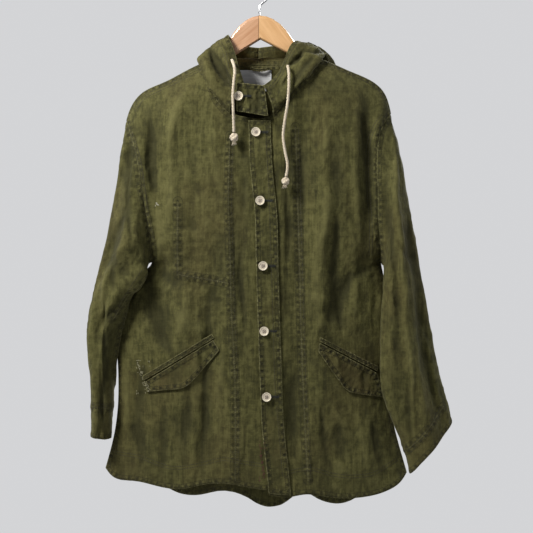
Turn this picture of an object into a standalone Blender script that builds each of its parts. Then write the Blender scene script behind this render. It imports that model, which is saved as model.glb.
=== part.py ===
# Hooded linen jacket on a wooden hanger. Metres, +Z up; tables and named sizes are in millimetres.
# The origin is where the hook rests, the front faces -Y and the wearer's left side is +X.
from collections import namedtuple
import math

import bpy
import numpy as np
from mathutils import Vector
from mathutils.bvhtree import BVHTree

MM = 0.001
WALL = 1.7            # thickness of the linen
SEAM_GAP = 0.32       # space between two sewn pieces
UNDERARM_GAP = 0.64   # where four seams meet under the arm
LAYER = 2.1           # one cloth on another, wall and gap
SHOULDER_DROP = 70.0  # height over which the shoulder rounds off
SHOULDER_ARC = 92.0   # length of that rounding, measured on the cloth
SHOULDER_POWER = 2.5  # fullness of the body's section about the armholes
SIDE_POWER = 1.75     # and below them, towards the side seams
POWER_HEIGHTS = (400.0, 512.0)  # how far down one fullness passes into the other
SLEEVE_POWER = 2.1    # fullness of a sleeve's section
ARMHOLE_HALF = 31.0   # half the depth of the flattened armhole
SLEEVE_CLEAR = 4.5    # least space between a sleeve and the body that it hangs before
SLEEVE_NEAR = 6.0     # how far beyond the body's edge a sleeve keeps that space
SLEEVE_FREE = 16.0    # and where it is free of it
FOLD_FADE = 14.0      # folds fade out this near the side seams
COLUMN_ROOM = 6.0     # least width of a column beside a side seam
AT_CREST = 0.01       # a run that is just in front of the crest

SHOULDER_COLUMNS = 9
NECK_COLUMNS = 8      # of these the last TAB_COLUMNS lie under the throat tab
TAB_COLUMNS = 2
BACK_NECK_COLUMNS = 8
SIDE_ROWS = 12
ARMHOLE_ROWS = 11
SLEEVE_ROWS = 20
HOOD_ROWS = 18

PLACKET_WIDTH = 40.0
UNDERLAP = 42.0       # how far the right front runs on under the left one
BUTTON_RADIUS = 8.6
BUTTON_THICK = 3.2
CORD_RADIUS = 2.9
HOOK_RADIUS = 2.0
HANGER_TILT = math.radians(2.2)  # the right arm hangs lower
WOOD_HALF = 6.8       # half the thickness of the hanger's wood

Flat = namedtuple("Flat", "x z")
Depth = namedtuple("Depth", "z front back")
Fold = namedtuple("Fold", "x_top z_top x_bottom z_bottom width depth")
Rib = namedtuple("Rib", "outer_x outer_y outer_z inner_x inner_y inner_z front back")
Crease = namedtuple("Crease", "rib_start at_start rib_end at_end width depth")
Stand = namedtuple("Stand", "base fold over hang rim")

RIGHT = -1
LEFT = 1

# Silhouette of the shoulders from the middle of the neck outwards.
CREST = {
    RIGHT: (Flat(0, -128), Flat(-60, -135), Flat(-109, -150), Flat(-164, -178), Flat(-219, -206),
            Flat(-234, -228), Flat(-241.5, -252)),
    LEFT: (Flat(0, -128), Flat(60, -130), Flat(112, -139), Flat(167, -161), Flat(192, -171),
           Flat(217, -185), Flat(233, -204), Flat(243, -240)),
}
# Armhole seam from the shoulder point down to the underarm.
ARMHOLE = {
    RIGHT: (Flat(-241.5, -252), Flat(-231, -281), Flat(-218, -327), Flat(-212, -374), Flat(-208, -405),
            Flat(-196, -471), Flat(-193, -513)),
    LEFT: (Flat(243, -240), Flat(226, -262), Flat(217, -290), Flat(214, -330), Flat(217, -376),
           Flat(217, -437), Flat(221, -475), Flat(224, -513)),
}
# Side seam from the underarm down to the corner of the hem.
SIDE = {
    RIGHT: (Flat(-193, -513), Flat(-221, -543), Flat(-247, -575), Flat(-260, -607), Flat(-261, -650),
            Flat(-256, -710), Flat(-257, -780), Flat(-264, -830), Flat(-280, -889)),
    LEFT: (Flat(224, -513), Flat(234, -560), Flat(240, -640), Flat(240, -760), Flat(250, -820),
           Flat(262, -862), Flat(272, -897)),
}
# Neckline of each front from the neck point down to its own front edge.
NECK = {
    RIGHT: (Flat(-102, -153), Flat(-86, -186), Flat(-77, -217), Flat(-50, -247), Flat(24, -258)),
    LEFT: (Flat(112.5, -140), Flat(94, -173), Flat(67, -196), Flat(56, -212), Flat(28, -250),
           Flat(-17, -258)),
}
# Edge of the left front from the neck to the hem.
FRONT_EDGE = (Flat(-17, -258), Flat(-13.5, -347), Flat(-6.5, -408), Flat(-2.7, -531), Flat(0, -622),
              Flat(4.5, -745), Flat(7, -806), Flat(17, -898), Flat(20, -931))
# Hems from the side corner to the front edge, or across the back from right to left.
FRONT_HEM = {
    RIGHT: (Flat(-280, -889), Flat(-267, -905), Flat(-219, -909), Flat(-185, -917), Flat(-145, -923),
            Flat(-96, -913), Flat(-60, -910), Flat(-23, -917), Flat(8, -922), Flat(62, -926)),
    LEFT: (Flat(272, -897), Flat(258, -916), Flat(234, -928), Flat(188, -938), Flat(148, -939),
           Flat(87, -930), Flat(44, -936), Flat(20, -931)),
}
BACK_HEM = (Flat(-280, -889), Flat(-266, -905), Flat(-225, -908), Flat(-192, -914), Flat(-154, -939),
            Flat(-116, -946), Flat(-77, -936), Flat(-48, -938), Flat(-24, -947), Flat(12, -969),
            Flat(42, -965), Flat(87, -934), Flat(103, -948), Flat(138, -961), Flat(160, -960),
            Flat(196, -938), Flat(240, -925), Flat(259, -915), Flat(272, -897))
# How far the body stands out before and behind the hanger, by height.
DEPTHS = (Depth(-120, 42, 26), Depth(-200, 45, 30), Depth(-300, 48, 34), Depth(-500, 49, 36),
          Depth(-700, 46, 36), Depth(-900, 43, 34), Depth(-980, 42, 34))
# Largest folds; a negative depth is a trough.
FRONT_FOLDS = (
    Fold(-192, -240, -168, -650, 15, -15), Fold(-120, -185, -182, -330, 17, 7),
    Fold(-84, -560, -96, -915, 20, -9), Fold(-222, -680, -212, -880, 14, -7),
    Fold(-150, -400, -130, -820, 24, 6), Fold(-58, -330, -44, -915, 16, 5),
    Fold(198, -190, 204, -450, 13, -15), Fold(124, -230, 112, -900, 34, 8),
    Fold(141, -450, 150, -640, 13, -7), Fold(76, -280, 66, -900, 18, -6),
    Fold(136, -776, 166, -830, 11, 5), Fold(120, -780, 146, -900, 13, -6), Fold(196, -760, 214, -920, 14, 7),
)
BACK_FOLDS = (
    Fold(-150, -260, -138, -935, 22, 8), Fold(-98, -520, -86, -935, 18, -9),
    Fold(-20, -420, 14, -960, 26, 8), Fold(74, -560, 88, -935, 20, -10),
    Fold(150, -300, 142, -950, 24, 8), Fold(200, -240, 196, -600, 16, -9),
    Fold(-198, -260, -190, -560, 15, -9), Fold(-222, -640, -214, -900, 15, -6),
)
# Sleeve sections from the armhole to the cuff: the outer and the inner end, and the fullness of each face.
RIBS = {
    RIGHT: (Rib(-245, 0, -272, -197, -10, -516, 33, 31), Rib(-255, 0, -318, -201, -26, -522, 38, 34),
            Rib(-264, 1, -395, -205, -34, -531, 42, 36), Rib(-277, 2, -470, -215, -43, -545, 40, 38),
            Rib(-289, 2, -548, -240, -50, -574, 32, 40), Rib(-300, 0, -597, -258, -46, -608, 28, 44),
            Rib(-303, -2, -653, -262, -28, -655, 36, 46), Rib(-303, -4, -715, -265, -12, -716, 46, 46),
            Rib(-303, -5, -775, -266, -8, -776, 48, 46), Rib(-304, -6, -826, -269, -8, -833, 48, 46)),
    LEFT: (Rib(249, 0, -262, 226, -10, -516.5, 34, 31), Rib(260, 0, -305, 226, -24, -524, 38, 33),
           Rib(275, 0, -400, 225, -38, -550, 40, 35), Rib(292, -2, -498, 222, -48, -596, 38, 36),
           Rib(304, -4, -590, 220, -54, -655, 36, 36), Rib(316, -6, -650, 220, -57, -705, 34, 35),
           Rib(329, -8, -712, 222, -58, -742, 32, 34), Rib(340, -9, -754, 235, -56, -782, 31, 33),
           Rib(348, -10, -782, 254, -52, -830, 31, 32), Rib(352, -10, -803, 273, -48, -892, 30, 31)),
}
# Creases along the front of a sleeve; rib and place (0 outer to 1 inner) at both ends.
SLEEVE_CREASES = {
    RIGHT: (Crease(0.5, 0.12, 4.0, 0.26, 0.07, -13), Crease(4.0, 0.26, 6.0, 0.72, 0.10, -13),
            Crease(6.0, 0.72, 9.5, 0.62, 0.12, -11), Crease(0.8, 0.70, 4.5, 0.55, 0.10, 6),
            Crease(1.0, 0.86, 4.0, 0.82, 0.05, -6)),
    LEFT: (Crease(0.5, 0.42, 9.5, 0.62, 0.08, 9), Crease(3.0, 0.70, 9.0, 0.84, 0.07, -6),
           Crease(5.5, 0.34, 9.5, 0.30, 0.06, -7), Crease(1.0, 0.20, 6.0, 0.24, 0.08, -6),
           Crease(0.5, 0.74, 5.0, 0.88, 0.07, 5)),
}
# The back of each sleeve has creases like those in front.
BACK_CREASES = (Crease(1.0, 0.30, 6.0, 0.40, 0.09, 7), Crease(3.0, 0.62, 9.5, 0.55, 0.08, -7))

# Hood at six stations from the throat to the seam at the middle of the back: above the neck seam the
# cloth bulges (base), folds, turns over, hangs and comes to the rim; each place is x, y, z.
HOOD = {
    RIGHT: (
        Stand((-50, -55, -236), (-47, -57, -226), (-42, -57, -216), (-34, -56, -205), (-24, -54, -194)),
        Stand((-84, -53, -203), (-75, -52, -192), (-63, -45, -181), (-50, -50, -169), (-36, -43, -158)),
        Stand((-103, -42, -166), (-93, -40, -147), (-80, -30, -138), (-60, -36, -129), (-43, -29, -129)),
        Stand((-113, -8, -139), (-105, 0, -127), (-95, 6, -117), (-76, 0, -104), (-56, -10, -94)),
        Stand((-84, 26, -126), (-94, 40, -190), (-104, 56, -262), (-106, 66, -150), (-42, 46, -104)),
        Stand((0, 34, -128), (0, 42, -235), (0, 62, -330), (0, 92, -230), (0, 74, -106)),
    ),
    LEFT: (
        Stand((26, -56, -240), (24, -57, -229), (20, -57, -218), (15, -56, -207), (10, -54, -196)),
        Stand((72, -57, -193), (67, -55, -183), (54, -46, -180), (40, -49, -180), (27, -44, -182)),
        Stand((106, -42, -158), (100, -38, -140), (80, -27, -131), (62, -34, -134), (42, -31, -160)),
        Stand((124, -5, -129), (123, 8, -123), (114, 14, -117), (92, 0, -106), (60, -18, -112)),
        Stand((98, 34, -130), (124, 48, -190), (140, 62, -262), (160, 64, -154), (76, 36, -102)),
        Stand((0, 34, -128), (0, 42, -235), (0, 62, -330), (0, 92, -230), (0, 74, -106)),
    ),
}

Flap = namedtuple("Flap", "top_inner top_outer bottom_outer bottom_inner")
WELT = {
    RIGHT: Flap(Flat(-83, -641), Flat(-211, -719), Flat(-207, -727), Flat(-79, -649)),
    LEFT: Flap(Flat(111, -646), Flat(219, -702), Flat(217, -711), Flat(110, -654)),
}
FLAP = {
    RIGHT: Flap(Flat(-81, -652.5), Flat(-206, -729.5), Flat(-202, -747), Flat(-70, -671)),
    LEFT: Flap(Flat(110.5, -657), Flat(217, -714), Flat(228, -758), Flat(108, -673)),
}
FLAP_POINT = {RIGHT: Flat(-129, -739), LEFT: Flat(160, -747)}  # lowest corner of each flap

BUTTONS = (Flat(-4, -279), Flat(3.5, -402), Flat(8.8, -519), Flat(10.8, -636), Flat(15.3, -754))
COLLAR_BUTTON = Flat(-41, -216)
TAB_TOP = (Flat(-39, -192), Flat(11, -197))
TAB_BOTTOM = (Flat(-38, -243), Flat(18, -252))
TAB_FRONT = -60.5     # how far forward the throat tab lies
TAB_BOW = 2.0         # and how much further its middle does
LABEL_CENTRE = Flat(-5, -176)
LABEL_HALF = Flat(29, 19)
LABEL_WALL = 0.8
LABEL_INSIDE = 3.4    # how far inside the back the label lies
LOOP_MIDDLE = (3.0, 15.5, -157.0)
LOOP_HALF = 18.0
LOOP_WIDTH = 6.0
LOOP_BOW = 4.0
LOOP_WALL = 1.2

Place = namedtuple("Place", "x y z")
CORD_ROUTES = {
    RIGHT: (Place(-47, -52, -150), Place(-44, -60, -158), Place(-41.5, -66, -171), Place(-43, -69.5, -190),
            Place(-44.8, -70.5, -216), Place(-44, -69.5, -242), Place(-43.5, -64, -264),
            Place(-43.2, -61, -281)),
    LEFT: (Place(53, -50, -160), Place(54.6, -57, -170), Place(55, -62, -192), Place(52.6, -64.5, -228),
           Place(47, -63, -264), Place(44.6, -61.5, -286), Place(48, -61, -314), Place(52.6, -61, -340),
           Place(50, -61, -360)),
}
KNOT_RADIUS = {RIGHT: 8.2, LEFT: 7.6}

HOOK_ROUTE = (Flat(0, -59.6), Flat(0, -50), Flat(2, -41), Flat(12, -33), Flat(20, -22), Flat(20.5, -12),
              Flat(13, -1.5), Flat(0, 2), Flat(-13, -2), Flat(-20, -12), Flat(-20.5, -22))
# Upper and lower edge of the hanger from its middle to an arm's end.
WOOD_TOP = (Flat(0, -60), Flat(16, -63), Flat(32, -72.5), Flat(46, -86), Flat(57, -102), Flat(72, -127),
            Flat(88, -147), Flat(112, -161), Flat(160, -178), Flat(198, -200), Flat(205, -208))
WOOD_BOTTOM = (Flat(0, -104), Flat(22, -116.5), Flat(44, -129), Flat(56, -135.5), Flat(74, -148),
               Flat(92, -162), Flat(115, -176), Flat(160, -197), Flat(190, -213), Flat(198, -216),
               Flat(204.5, -212))

COLOURS = {
    "linen": (0.088, 0.083, 0.026), "wood": (0.62, 0.36, 0.18), "steel": (0.56, 0.56, 0.58),
    "button": (0.64, 0.57, 0.42), "cord": (0.70, 0.60, 0.45), "label": (0.72, 0.72, 0.70),
}


def smooth_step(value):
    value = min(max(value, 0.0), 1.0)
    return value * value * (3.0 - 2.0 * value)


def curve_through(rows, places):
    """Points at the given shares of the length of one smooth curve through the rows."""
    points = np.array([tuple(row) for row in rows], dtype=float)
    steps = np.linalg.norm(np.diff(points, axis=0), axis=1)
    knots = np.concatenate(([0.0], np.cumsum(steps)))
    slopes = np.gradient(points, knots, axis=0)
    fine = []
    for start in range(len(points) - 1):
        for share in np.linspace(0.0, 1.0, 24, endpoint=False):
            fine.append(hermite(points, slopes, knots, start, share))
    fine.append(points[-1])
    fine = np.array(fine)
    lengths = np.concatenate(([0.0], np.cumsum(np.linalg.norm(np.diff(fine, axis=0), axis=1))))
    wanted = np.asarray(places, dtype=float) * lengths[-1]
    return np.stack([np.interp(wanted, lengths, fine[:, axis]) for axis in range(fine.shape[1])], axis=1)


def hermite(points, slopes, knots, start, share):
    """One place on the cubic between two knots."""
    span = knots[start + 1] - knots[start]
    square = share * share
    cube = square * share
    return ((2 * cube - 3 * square + 1) * points[start] + (cube - 2 * square + share) * span * slopes[start]
            + (3 * square - 2 * cube) * points[start + 1] + (cube - square) * span * slopes[start + 1])


def even(count):
    return np.linspace(0.0, 1.0, count + 1)


def eased(count):
    """Shares from 0 to 1 that lie closer at both ends."""
    return 0.5 - 0.5 * np.cos(np.linspace(0.0, math.pi, count + 1))


FINE = even(160)
FINEST = 2000         # steps to which the armhole seam is read
CREST_FINE = {side: curve_through(rows, FINE) for side, rows in CREST.items()}
ARMHOLE_FINE = {side: curve_through(rows, even(FINEST)) for side, rows in ARMHOLE.items()}
EDGE_FINE = {side: np.concatenate((curve_through(ARMHOLE[side], FINE), curve_through(SIDE[side], FINE)[1:]))
             for side in (RIGHT, LEFT)}


def side_of(x):
    return LEFT if x >= 0 else RIGHT


def crest_height(x):
    fine = CREST_FINE[side_of(x)]
    return float(np.interp(abs(x), np.abs(fine[:, 0]), fine[:, 1]))


def side_reach(side, z):
    """Half width of the body at a height, measured on one side."""
    fine = EDGE_FINE[side]
    return abs(float(np.interp(-z, -fine[:, 1], fine[:, 0])))


def bulge(share, power):
    return max(0.0, 1.0 - abs(2.0 * share - 1.0) ** power) ** (1.0 / power)


def armhole_depth(side, z):
    top = ARMHOLE[side][0].z
    bottom = ARMHOLE[side][-1].z
    share = (top - z) / (top - bottom)
    return ARMHOLE_HALF * bulge(share, SLEEVE_POWER) if 0.0 < share < 1.0 else 0.0


def fold_push(folds, x, z):
    """How far the folds push the cloth out at a place on a panel."""
    push = 0.0
    for fold in folds:
        along = (fold.z_top - z) / (fold.z_top - fold.z_bottom)
        near = min(max(along, 0.0), 1.0)
        across = x - (fold.x_top + (fold.x_bottom - fold.x_top) * near)
        beyond = (along - near) * (fold.z_top - fold.z_bottom)
        fade = smooth_step(0.25 + 3.0 * near) * smooth_step(0.35 + 3.0 * (1.0 - near))
        push += fold.depth * fade * math.exp(-(across / fold.width) ** 2 - (beyond / (2.0 * fold.width)) ** 2)
    return push


def shoulder_turn(run):
    return min(abs(run) / SHOULDER_ARC, 1.0) * math.pi / 2.0


def body_height(x, run):
    """Height of the cloth that lies a given run below the shoulder's crest."""
    drop = SHOULDER_DROP * (1.0 - math.cos(shoulder_turn(run)))
    return crest_height(x) - drop - max(abs(run) - SHOULDER_ARC, 0.0)


def run_at(x, z):
    """Length of cloth from the crest down to a height."""
    drop = crest_height(x) - z
    if drop >= SHOULDER_DROP:
        return SHOULDER_ARC + drop - SHOULDER_DROP
    return math.acos(1.0 - max(drop, 0.0) / SHOULDER_DROP) * SHOULDER_ARC * 2.0 / math.pi


def body_point(x, run, lift=0.0):
    """Outer face of the body; a negative run is in front of the crest, a positive one behind it."""
    side = side_of(x)
    z = body_height(x, run)
    reach = side_reach(side, z)
    share = min(max(1.0 - abs(x) / reach, 0.0), 1.0)
    power = np.interp(-z, POWER_HEIGHTS, (SHOULDER_POWER, SIDE_POWER))
    fullness = (1.0 - (1.0 - share) ** power) ** (1.0 / power)
    turn = math.sin(shoulder_turn(run))
    heights = [-row.z for row in DEPTHS]
    is_front = run < 0
    depth = np.interp(-z, heights, [row.front if is_front else row.back for row in DEPTHS])
    folds = FRONT_FOLDS if is_front else BACK_FOLDS
    push = fold_push(folds, x, z) * smooth_step(share * abs(x) / FOLD_FADE) * turn * turn
    out = armhole_depth(side, z) * (1.0 - fullness) + depth * fullness * turn + push + lift * turn
    return Vector((x, -out if is_front else out, z))


def kept_inside(x, run, away):
    """Keeps a place on a panel within the side seam; away counts columns from the panel's edge."""
    z = body_height(x, run)
    limit = side_reach(side_of(x), z) - COLUMN_ROOM * min(away, 3)
    if abs(x) <= limit or z > ARMHOLE[side_of(x)][0].z - 30.0:
        return x, run
    x = math.copysign(limit, x)
    return x, math.copysign(run_at(x, z), run)


def coons(bottom, top, left, right):
    """Grid of flat places between four edges; bottom and top run across, left and right run up."""
    columns = len(bottom)
    rows = len(left)
    grid = np.zeros((rows, columns, 2))
    for row in range(rows):
        up = row / (rows - 1)
        for column in range(columns):
            over = column / (columns - 1)
            corners = ((1 - over) * (1 - up) * bottom[0] + over * (1 - up) * bottom[-1]
                       + (1 - over) * up * top[0] + over * up * top[-1])
            grid[row, column] = ((1 - up) * bottom[column] + up * top[column]
                                 + (1 - over) * left[row] + over * right[row] - corners)
    return grid


def to_runs(places, sign):
    return np.array([(x, sign * run_at(x, z)) for x, z in places])


def seam_forward(share):
    """How far before the crest the shoulder seam lies, from the neck (0) to the armhole (1)."""
    return 9.0 + 12.0 * math.sin(math.pi * min(share * 1.15, 1.0)) - 9.0 * share


def shoulder_line(side):
    """Shoulder seam from the neck point to the shoulder point, as place and run."""
    rows = [row for row in CREST[side] if abs(row.x) >= abs(NECK[side][0].x) - 4.0]
    places = curve_through([Flat(NECK[side][0].x, crest_height(NECK[side][0].x))] + rows[1:],
                           even(SHOULDER_COLUMNS))
    return np.array([(x, -seam_forward(share)) for (x, _), share in zip(places, even(SHOULDER_COLUMNS))])


def edge_line(side, sign):
    """Side seam and armhole from the hem's corner up to the shoulder point, as place and run."""
    seam = curve_through(SIDE[side], even(SIDE_ROWS))[::-1]
    armhole = curve_through(ARMHOLE[side], eased(ARMHOLE_ROWS))[::-1]
    return to_runs(np.concatenate((seam, armhole[1:])), sign)


def neck_line(side):
    """Front neckline from the neck point to the front edge; its last columns lie under the tab."""
    start = NECK[side][0].x
    shown = (Flat(start, body_height(start, -seam_forward(0.0))),) + NECK[side][1:-1]
    hidden = NECK[side][-2:]
    places = np.concatenate((curve_through(shown, even(NECK_COLUMNS - TAB_COLUMNS)),
                             curve_through(hidden, even(TAB_COLUMNS))[1:]))
    return to_runs(places, -1)


def back_neck_line():
    """Back neckline from the right neck point to the left one."""
    right = NECK[RIGHT][0].x
    left = NECK[LEFT][0].x
    line = []
    for share, across in zip(even(BACK_NECK_COLUMNS), eased(BACK_NECK_COLUMNS)):
        run = -seam_forward(0.0) + (seam_forward(0.0) + 46.0) * math.sin(math.pi * share) ** 0.4
        line.append((right + (left - right) * across, run))
    return np.array(line)


def grid_normals(points, inside):
    """Unit directions out of a grid of points, away from the inside place."""
    spots = np.array([[tuple(point) for point in row] for row in points])
    down = np.gradient(spots, axis=0)
    over = np.gradient(spots, axis=1)
    normals = np.cross(over, down)
    normals /= np.linalg.norm(normals, axis=2, keepdims=True) + 1e-12
    middle = spots.shape[0] // 2, spots.shape[1] // 2
    if np.dot(normals[middle], spots[middle] - np.array(inside)) < 0:
        normals = -normals
    return [[Vector(normal) for normal in row] for row in normals]


def enclosed(vertices, faces):
    """Six times the volume inside the faces, negative where they point inwards."""
    total = 0.0
    for face in faces:
        first = vertices[face[0]]
        for second, third in zip(face[1:-1], face[2:]):
            total += first.dot(vertices[second].cross(vertices[third]))
    return total


def new_object(name, vertices, faces, material):
    vertices = [Vector(vertex) for vertex in vertices]
    if enclosed(vertices, faces) < 0:
        faces = [face[::-1] for face in faces]
    mesh = bpy.data.meshes.new(name)
    mesh.from_pydata([tuple(vertex * MM) for vertex in vertices], [], faces)
    mesh.materials.append(material)
    mesh.shade_smooth()
    mesh.set_sharp_from_angle(angle=math.radians(40.0))
    piece = bpy.data.objects.new(name, mesh)
    bpy.context.collection.objects.link(piece)
    return piece


def cloth(name, points, normals, material, wall=WALL, wraps=False):
    """Closed wall of cloth: the outer grid, the same grid moved in, and the edges between them.
    A grid that wraps is a tube whose rows are closed rings."""
    rows = len(points)
    columns = len(points[0])
    outer = [point for row in points for point in row]
    inner = [point - normal * wall
             for row, turned in zip(points, normals) for point, normal in zip(row, turned)]
    size = rows * columns

    def at(row, column, layer):
        return layer * size + row * columns + column % columns

    faces = []
    spans = columns if wraps else columns - 1
    for row in range(rows - 1):
        for column in range(spans):
            corners = [(row, column), (row, column + 1), (row + 1, column + 1), (row + 1, column)]
            faces.append([at(r, c, 0) for r, c in corners])
            faces.append([at(r, c, 1) for r, c in reversed(corners)])
    for column in range(spans):
        faces.append([at(0, column, 0), at(0, column, 1), at(0, column + 1, 1), at(0, column + 1, 0)])
        last = rows - 1
        faces.append([at(last, column, 1), at(last, column, 0),
                      at(last, column + 1, 0), at(last, column + 1, 1)])
    if not wraps:
        for row in range(rows - 1):
            faces.append([at(row, 0, 1), at(row, 0, 0), at(row + 1, 0, 0), at(row + 1, 0, 1)])
            last = columns - 1
            faces.append([at(row, last, 0), at(row, last, 1), at(row + 1, last, 1), at(row + 1, last, 0)])
    return new_object(name, outer + inner, faces, material)


def material_for(name, roughness, metallic=0.0):
    material = bpy.data.materials.new(name)
    material.use_nodes = True
    shader = material.node_tree.nodes["Principled BSDF"]
    shader.inputs["Base Color"].default_value = (*COLOURS[name], 1.0)
    shader.inputs["Roughness"].default_value = roughness
    shader.inputs["Metallic"].default_value = metallic
    return material


def loop_direction(side, share, sign):
    """Direction out of the armhole's loop at a share from the shoulder point down to the underarm."""
    angle = math.pi * share
    lean = 0.35 + (0.1 if sign > 0 else -0.35) * math.sin(angle)
    return Vector((side * lean, sign * math.sin(angle), math.cos(angle))).normalized()


def neck_ring():
    """The whole neck seam, and at each of its points the level direction square to it."""
    right = [body_point(x, min(run, -AT_CREST)) for x, run in neck_line(RIGHT)[::-1]]
    behind = [body_point(x, run) for x, run in back_neck_line()[1:-1]]
    left = [body_point(x, min(run, -AT_CREST)) for x, run in neck_line(LEFT)]
    ring = right + behind + left
    directions = []
    for before, after in zip([ring[0]] + ring[:-1], ring[1:] + [ring[-1]]):
        along = after - before
        directions.append(Vector((-along.y, along.x, 0.15 * along.length)).normalized())
    return ring, directions


def neck_direction(point):
    ring, directions = NECK_RING
    nearest = min(range(len(ring)), key=lambda index: (ring[index] - point).length)
    return directions[nearest]


def seam_edge(points, side, sign, column):
    """Puts a panel's side column exactly on the side seam and the armhole's loop."""
    for row in points:
        depth = armhole_depth(side, row[column].z)
        row[column].y = sign * depth


def seam_directions(normals, points, side, sign, column):
    """Gives a panel's side column the directions that it shares with its neighbours."""
    armhole = eased(ARMHOLE_ROWS)[::-1]
    for row in range(len(points)):
        if row <= SIDE_ROWS:
            below = points[max(row - 1, 0)][column]
            above = points[min(row + 1, SIDE_ROWS)][column]
            along = above - below
            normals[row][column] = Vector((side * abs(along.z), 0.0, -side * along.x)).normalized()
        else:
            normals[row][column] = loop_direction(side, armhole[row - SIDE_ROWS], sign)
    normals[SIDE_ROWS][column] = loop_direction(side, 1.0, sign)


def pull_in(points, row_ends=(0, 0), column_ends=(0, 0)):
    """Moves the chosen edges of a grid inwards by half a seam's gap."""
    rows = len(points)
    columns = len(points[0])
    half = SEAM_GAP / 2.0
    moved = [[Vector(point) for point in row] for row in points]
    for column in range(columns):
        if row_ends[0]:
            moved[0][column] += (points[1][column] - points[0][column]).normalized() * half
        if row_ends[1]:
            moved[-1][column] += (points[-2][column] - points[-1][column]).normalized() * half
    for row in range(rows):
        if column_ends[0]:
            moved[row][0] += (points[row][1] - points[row][0]).normalized() * half
        if column_ends[1]:
            moved[row][-1] += (points[row][-2] - points[row][-1]).normalized() * half
    return moved


def over_lift(x):
    """The left front lies on the right one about the middle, and level with it towards the side."""
    return LAYER * smooth_step((95.0 - x) / 30.0)


def front_panel(side):
    """Outer points of one front and the directions out of them."""
    if side == LEFT:
        edge = curve_through(FRONT_EDGE, even(SIDE_ROWS + ARMHOLE_ROWS))[::-1]
    else:
        under = [Flat(row.x + UNDERLAP, row.z + 2.0) for row in FRONT_EDGE[1:-1]]
        under = [NECK[RIGHT][-1]] + under + [FRONT_HEM[RIGHT][-1]]
        edge = curve_through(under, even(SIDE_ROWS + ARMHOLE_ROWS))[::-1]
    left = to_runs(edge, -1)
    bottom = to_runs(curve_through(FRONT_HEM[side], even(NECK_COLUMNS + SHOULDER_COLUMNS))[::-1], -1)
    top = np.concatenate((neck_line(side)[::-1], shoulder_line(side)[1:]))
    right = edge_line(side, -1)
    right[-1] = top[-1]
    left[-1] = top[0]
    left[0] = bottom[0]
    bottom[-1] = right[0]
    flat = coons(bottom, top, left, right)
    lift = over_lift if side == LEFT else (lambda x: 0.0)
    last = flat.shape[1] - 1
    flat = [[kept_inside(x, min(run, -AT_CREST), last - column) for column, (x, run) in enumerate(row)]
            for row in flat]
    points = [[body_point(x, run, lift(x)) for x, run in row] for row in flat]
    seam_edge(points, side, -1, -1)
    normals = grid_normals(points, (0.0, 0.0, -600.0))
    shared_edges(points, normals, side)
    return points, normals


def shared_edges(points, normals, side):
    """Directions on a front's side seam, armhole, shoulder and neckline that its neighbours share."""
    last = len(points[0]) - 1
    seam_directions(normals, points, side, -1, last)
    for column in range(NECK_COLUMNS, last + 1):
        normals[-1][column] = crest_direction(side, points[-1][column])
    for column in range(NECK_COLUMNS + 1):
        normals[-1][column] = neck_direction(points[-1][column])
    normals[-1][last] = loop_direction(side, 0.0, -1)


def crest_direction(side, point):
    """Direction out of the shoulder at its seam, square to the crest's slope."""
    reach = 4.0
    fall = crest_height(point.x - side * reach) - crest_height(point.x + side * reach)
    return Vector((side * fall / (2.0 * reach), -0.35, 1.0)).normalized()


def make_fronts(material):
    panels = {}
    for side, name in ((RIGHT, "front_right"), (LEFT, "front_left")):
        points, normals = front_panel(side)
        points = pull_in(points, row_ends=(0, 1), column_ends=(0, 1))
        points[SIDE_ROWS][-1].z -= UNDERARM_GAP
        cloth(name, points, normals, material)
        panels[side] = face_of(points)
    return panels


def make_back(material):
    right = edge_line(RIGHT, 1)
    left = edge_line(LEFT, 1)
    shoulders = {side: shoulder_line(side) for side in (RIGHT, LEFT)}
    top = np.concatenate((shoulders[RIGHT][::-1], back_neck_line()[1:-1], shoulders[LEFT]))
    bottom = to_runs(curve_through(BACK_HEM, even(len(top) - 1)), 1)
    for line, ends in ((right, 0), (left, -1)):
        line[-1] = top[ends]
        bottom[ends] = line[0]
    flat = coons(bottom, top, right, left)
    last = len(top) - 1
    flat = [[kept_inside(x, run, min(column, last - column)) for column, (x, run) in enumerate(row)]
            for row in flat]
    points = [[body_point(x, run) for x, run in row] for row in flat]
    seam_edge(points, RIGHT, 1, 0)
    seam_edge(points, LEFT, 1, -1)
    normals = grid_normals(points, (0.0, 0.0, -600.0))
    for side, column in ((RIGHT, 0), (LEFT, last)):
        seam_directions(normals, points, side, 1, column)
    for column in range(last + 1):
        point = points[-1][column]
        if SHOULDER_COLUMNS <= column <= last - SHOULDER_COLUMNS:
            normals[-1][column] = neck_direction(point)
        else:
            normals[-1][column] = crest_direction(side_of(point.x), point)
    for side, column in ((RIGHT, 0), (LEFT, last)):
        normals[-1][column] = loop_direction(side, 0.0, 1)
    points = pull_in(points, row_ends=(0, 1), column_ends=(1, 1))
    for column in (0, -1):
        points[SIDE_ROWS][column].z -= UNDERARM_GAP
    cloth("back", points, normals, material)


def armhole_at(side, share):
    """Flat place on the armhole seam at a share of its length."""
    return ARMHOLE_FINE[side][int(round(share * FINEST))]


def rib_at(side, place):
    """Smoothly read sleeve section; place counts sections from 1 (armhole is 0)."""
    rows = np.array([tuple(rib) for rib in RIBS[side]])
    spots = np.arange(1, len(rows) + 1)
    slopes = np.gradient(rows, axis=0)
    start = int(min(max(math.floor(place) - 1, 0), len(rows) - 2))
    share = place - spots[start]
    return Rib(*hermite(rows, slopes, spots.astype(float), start, share))


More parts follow.
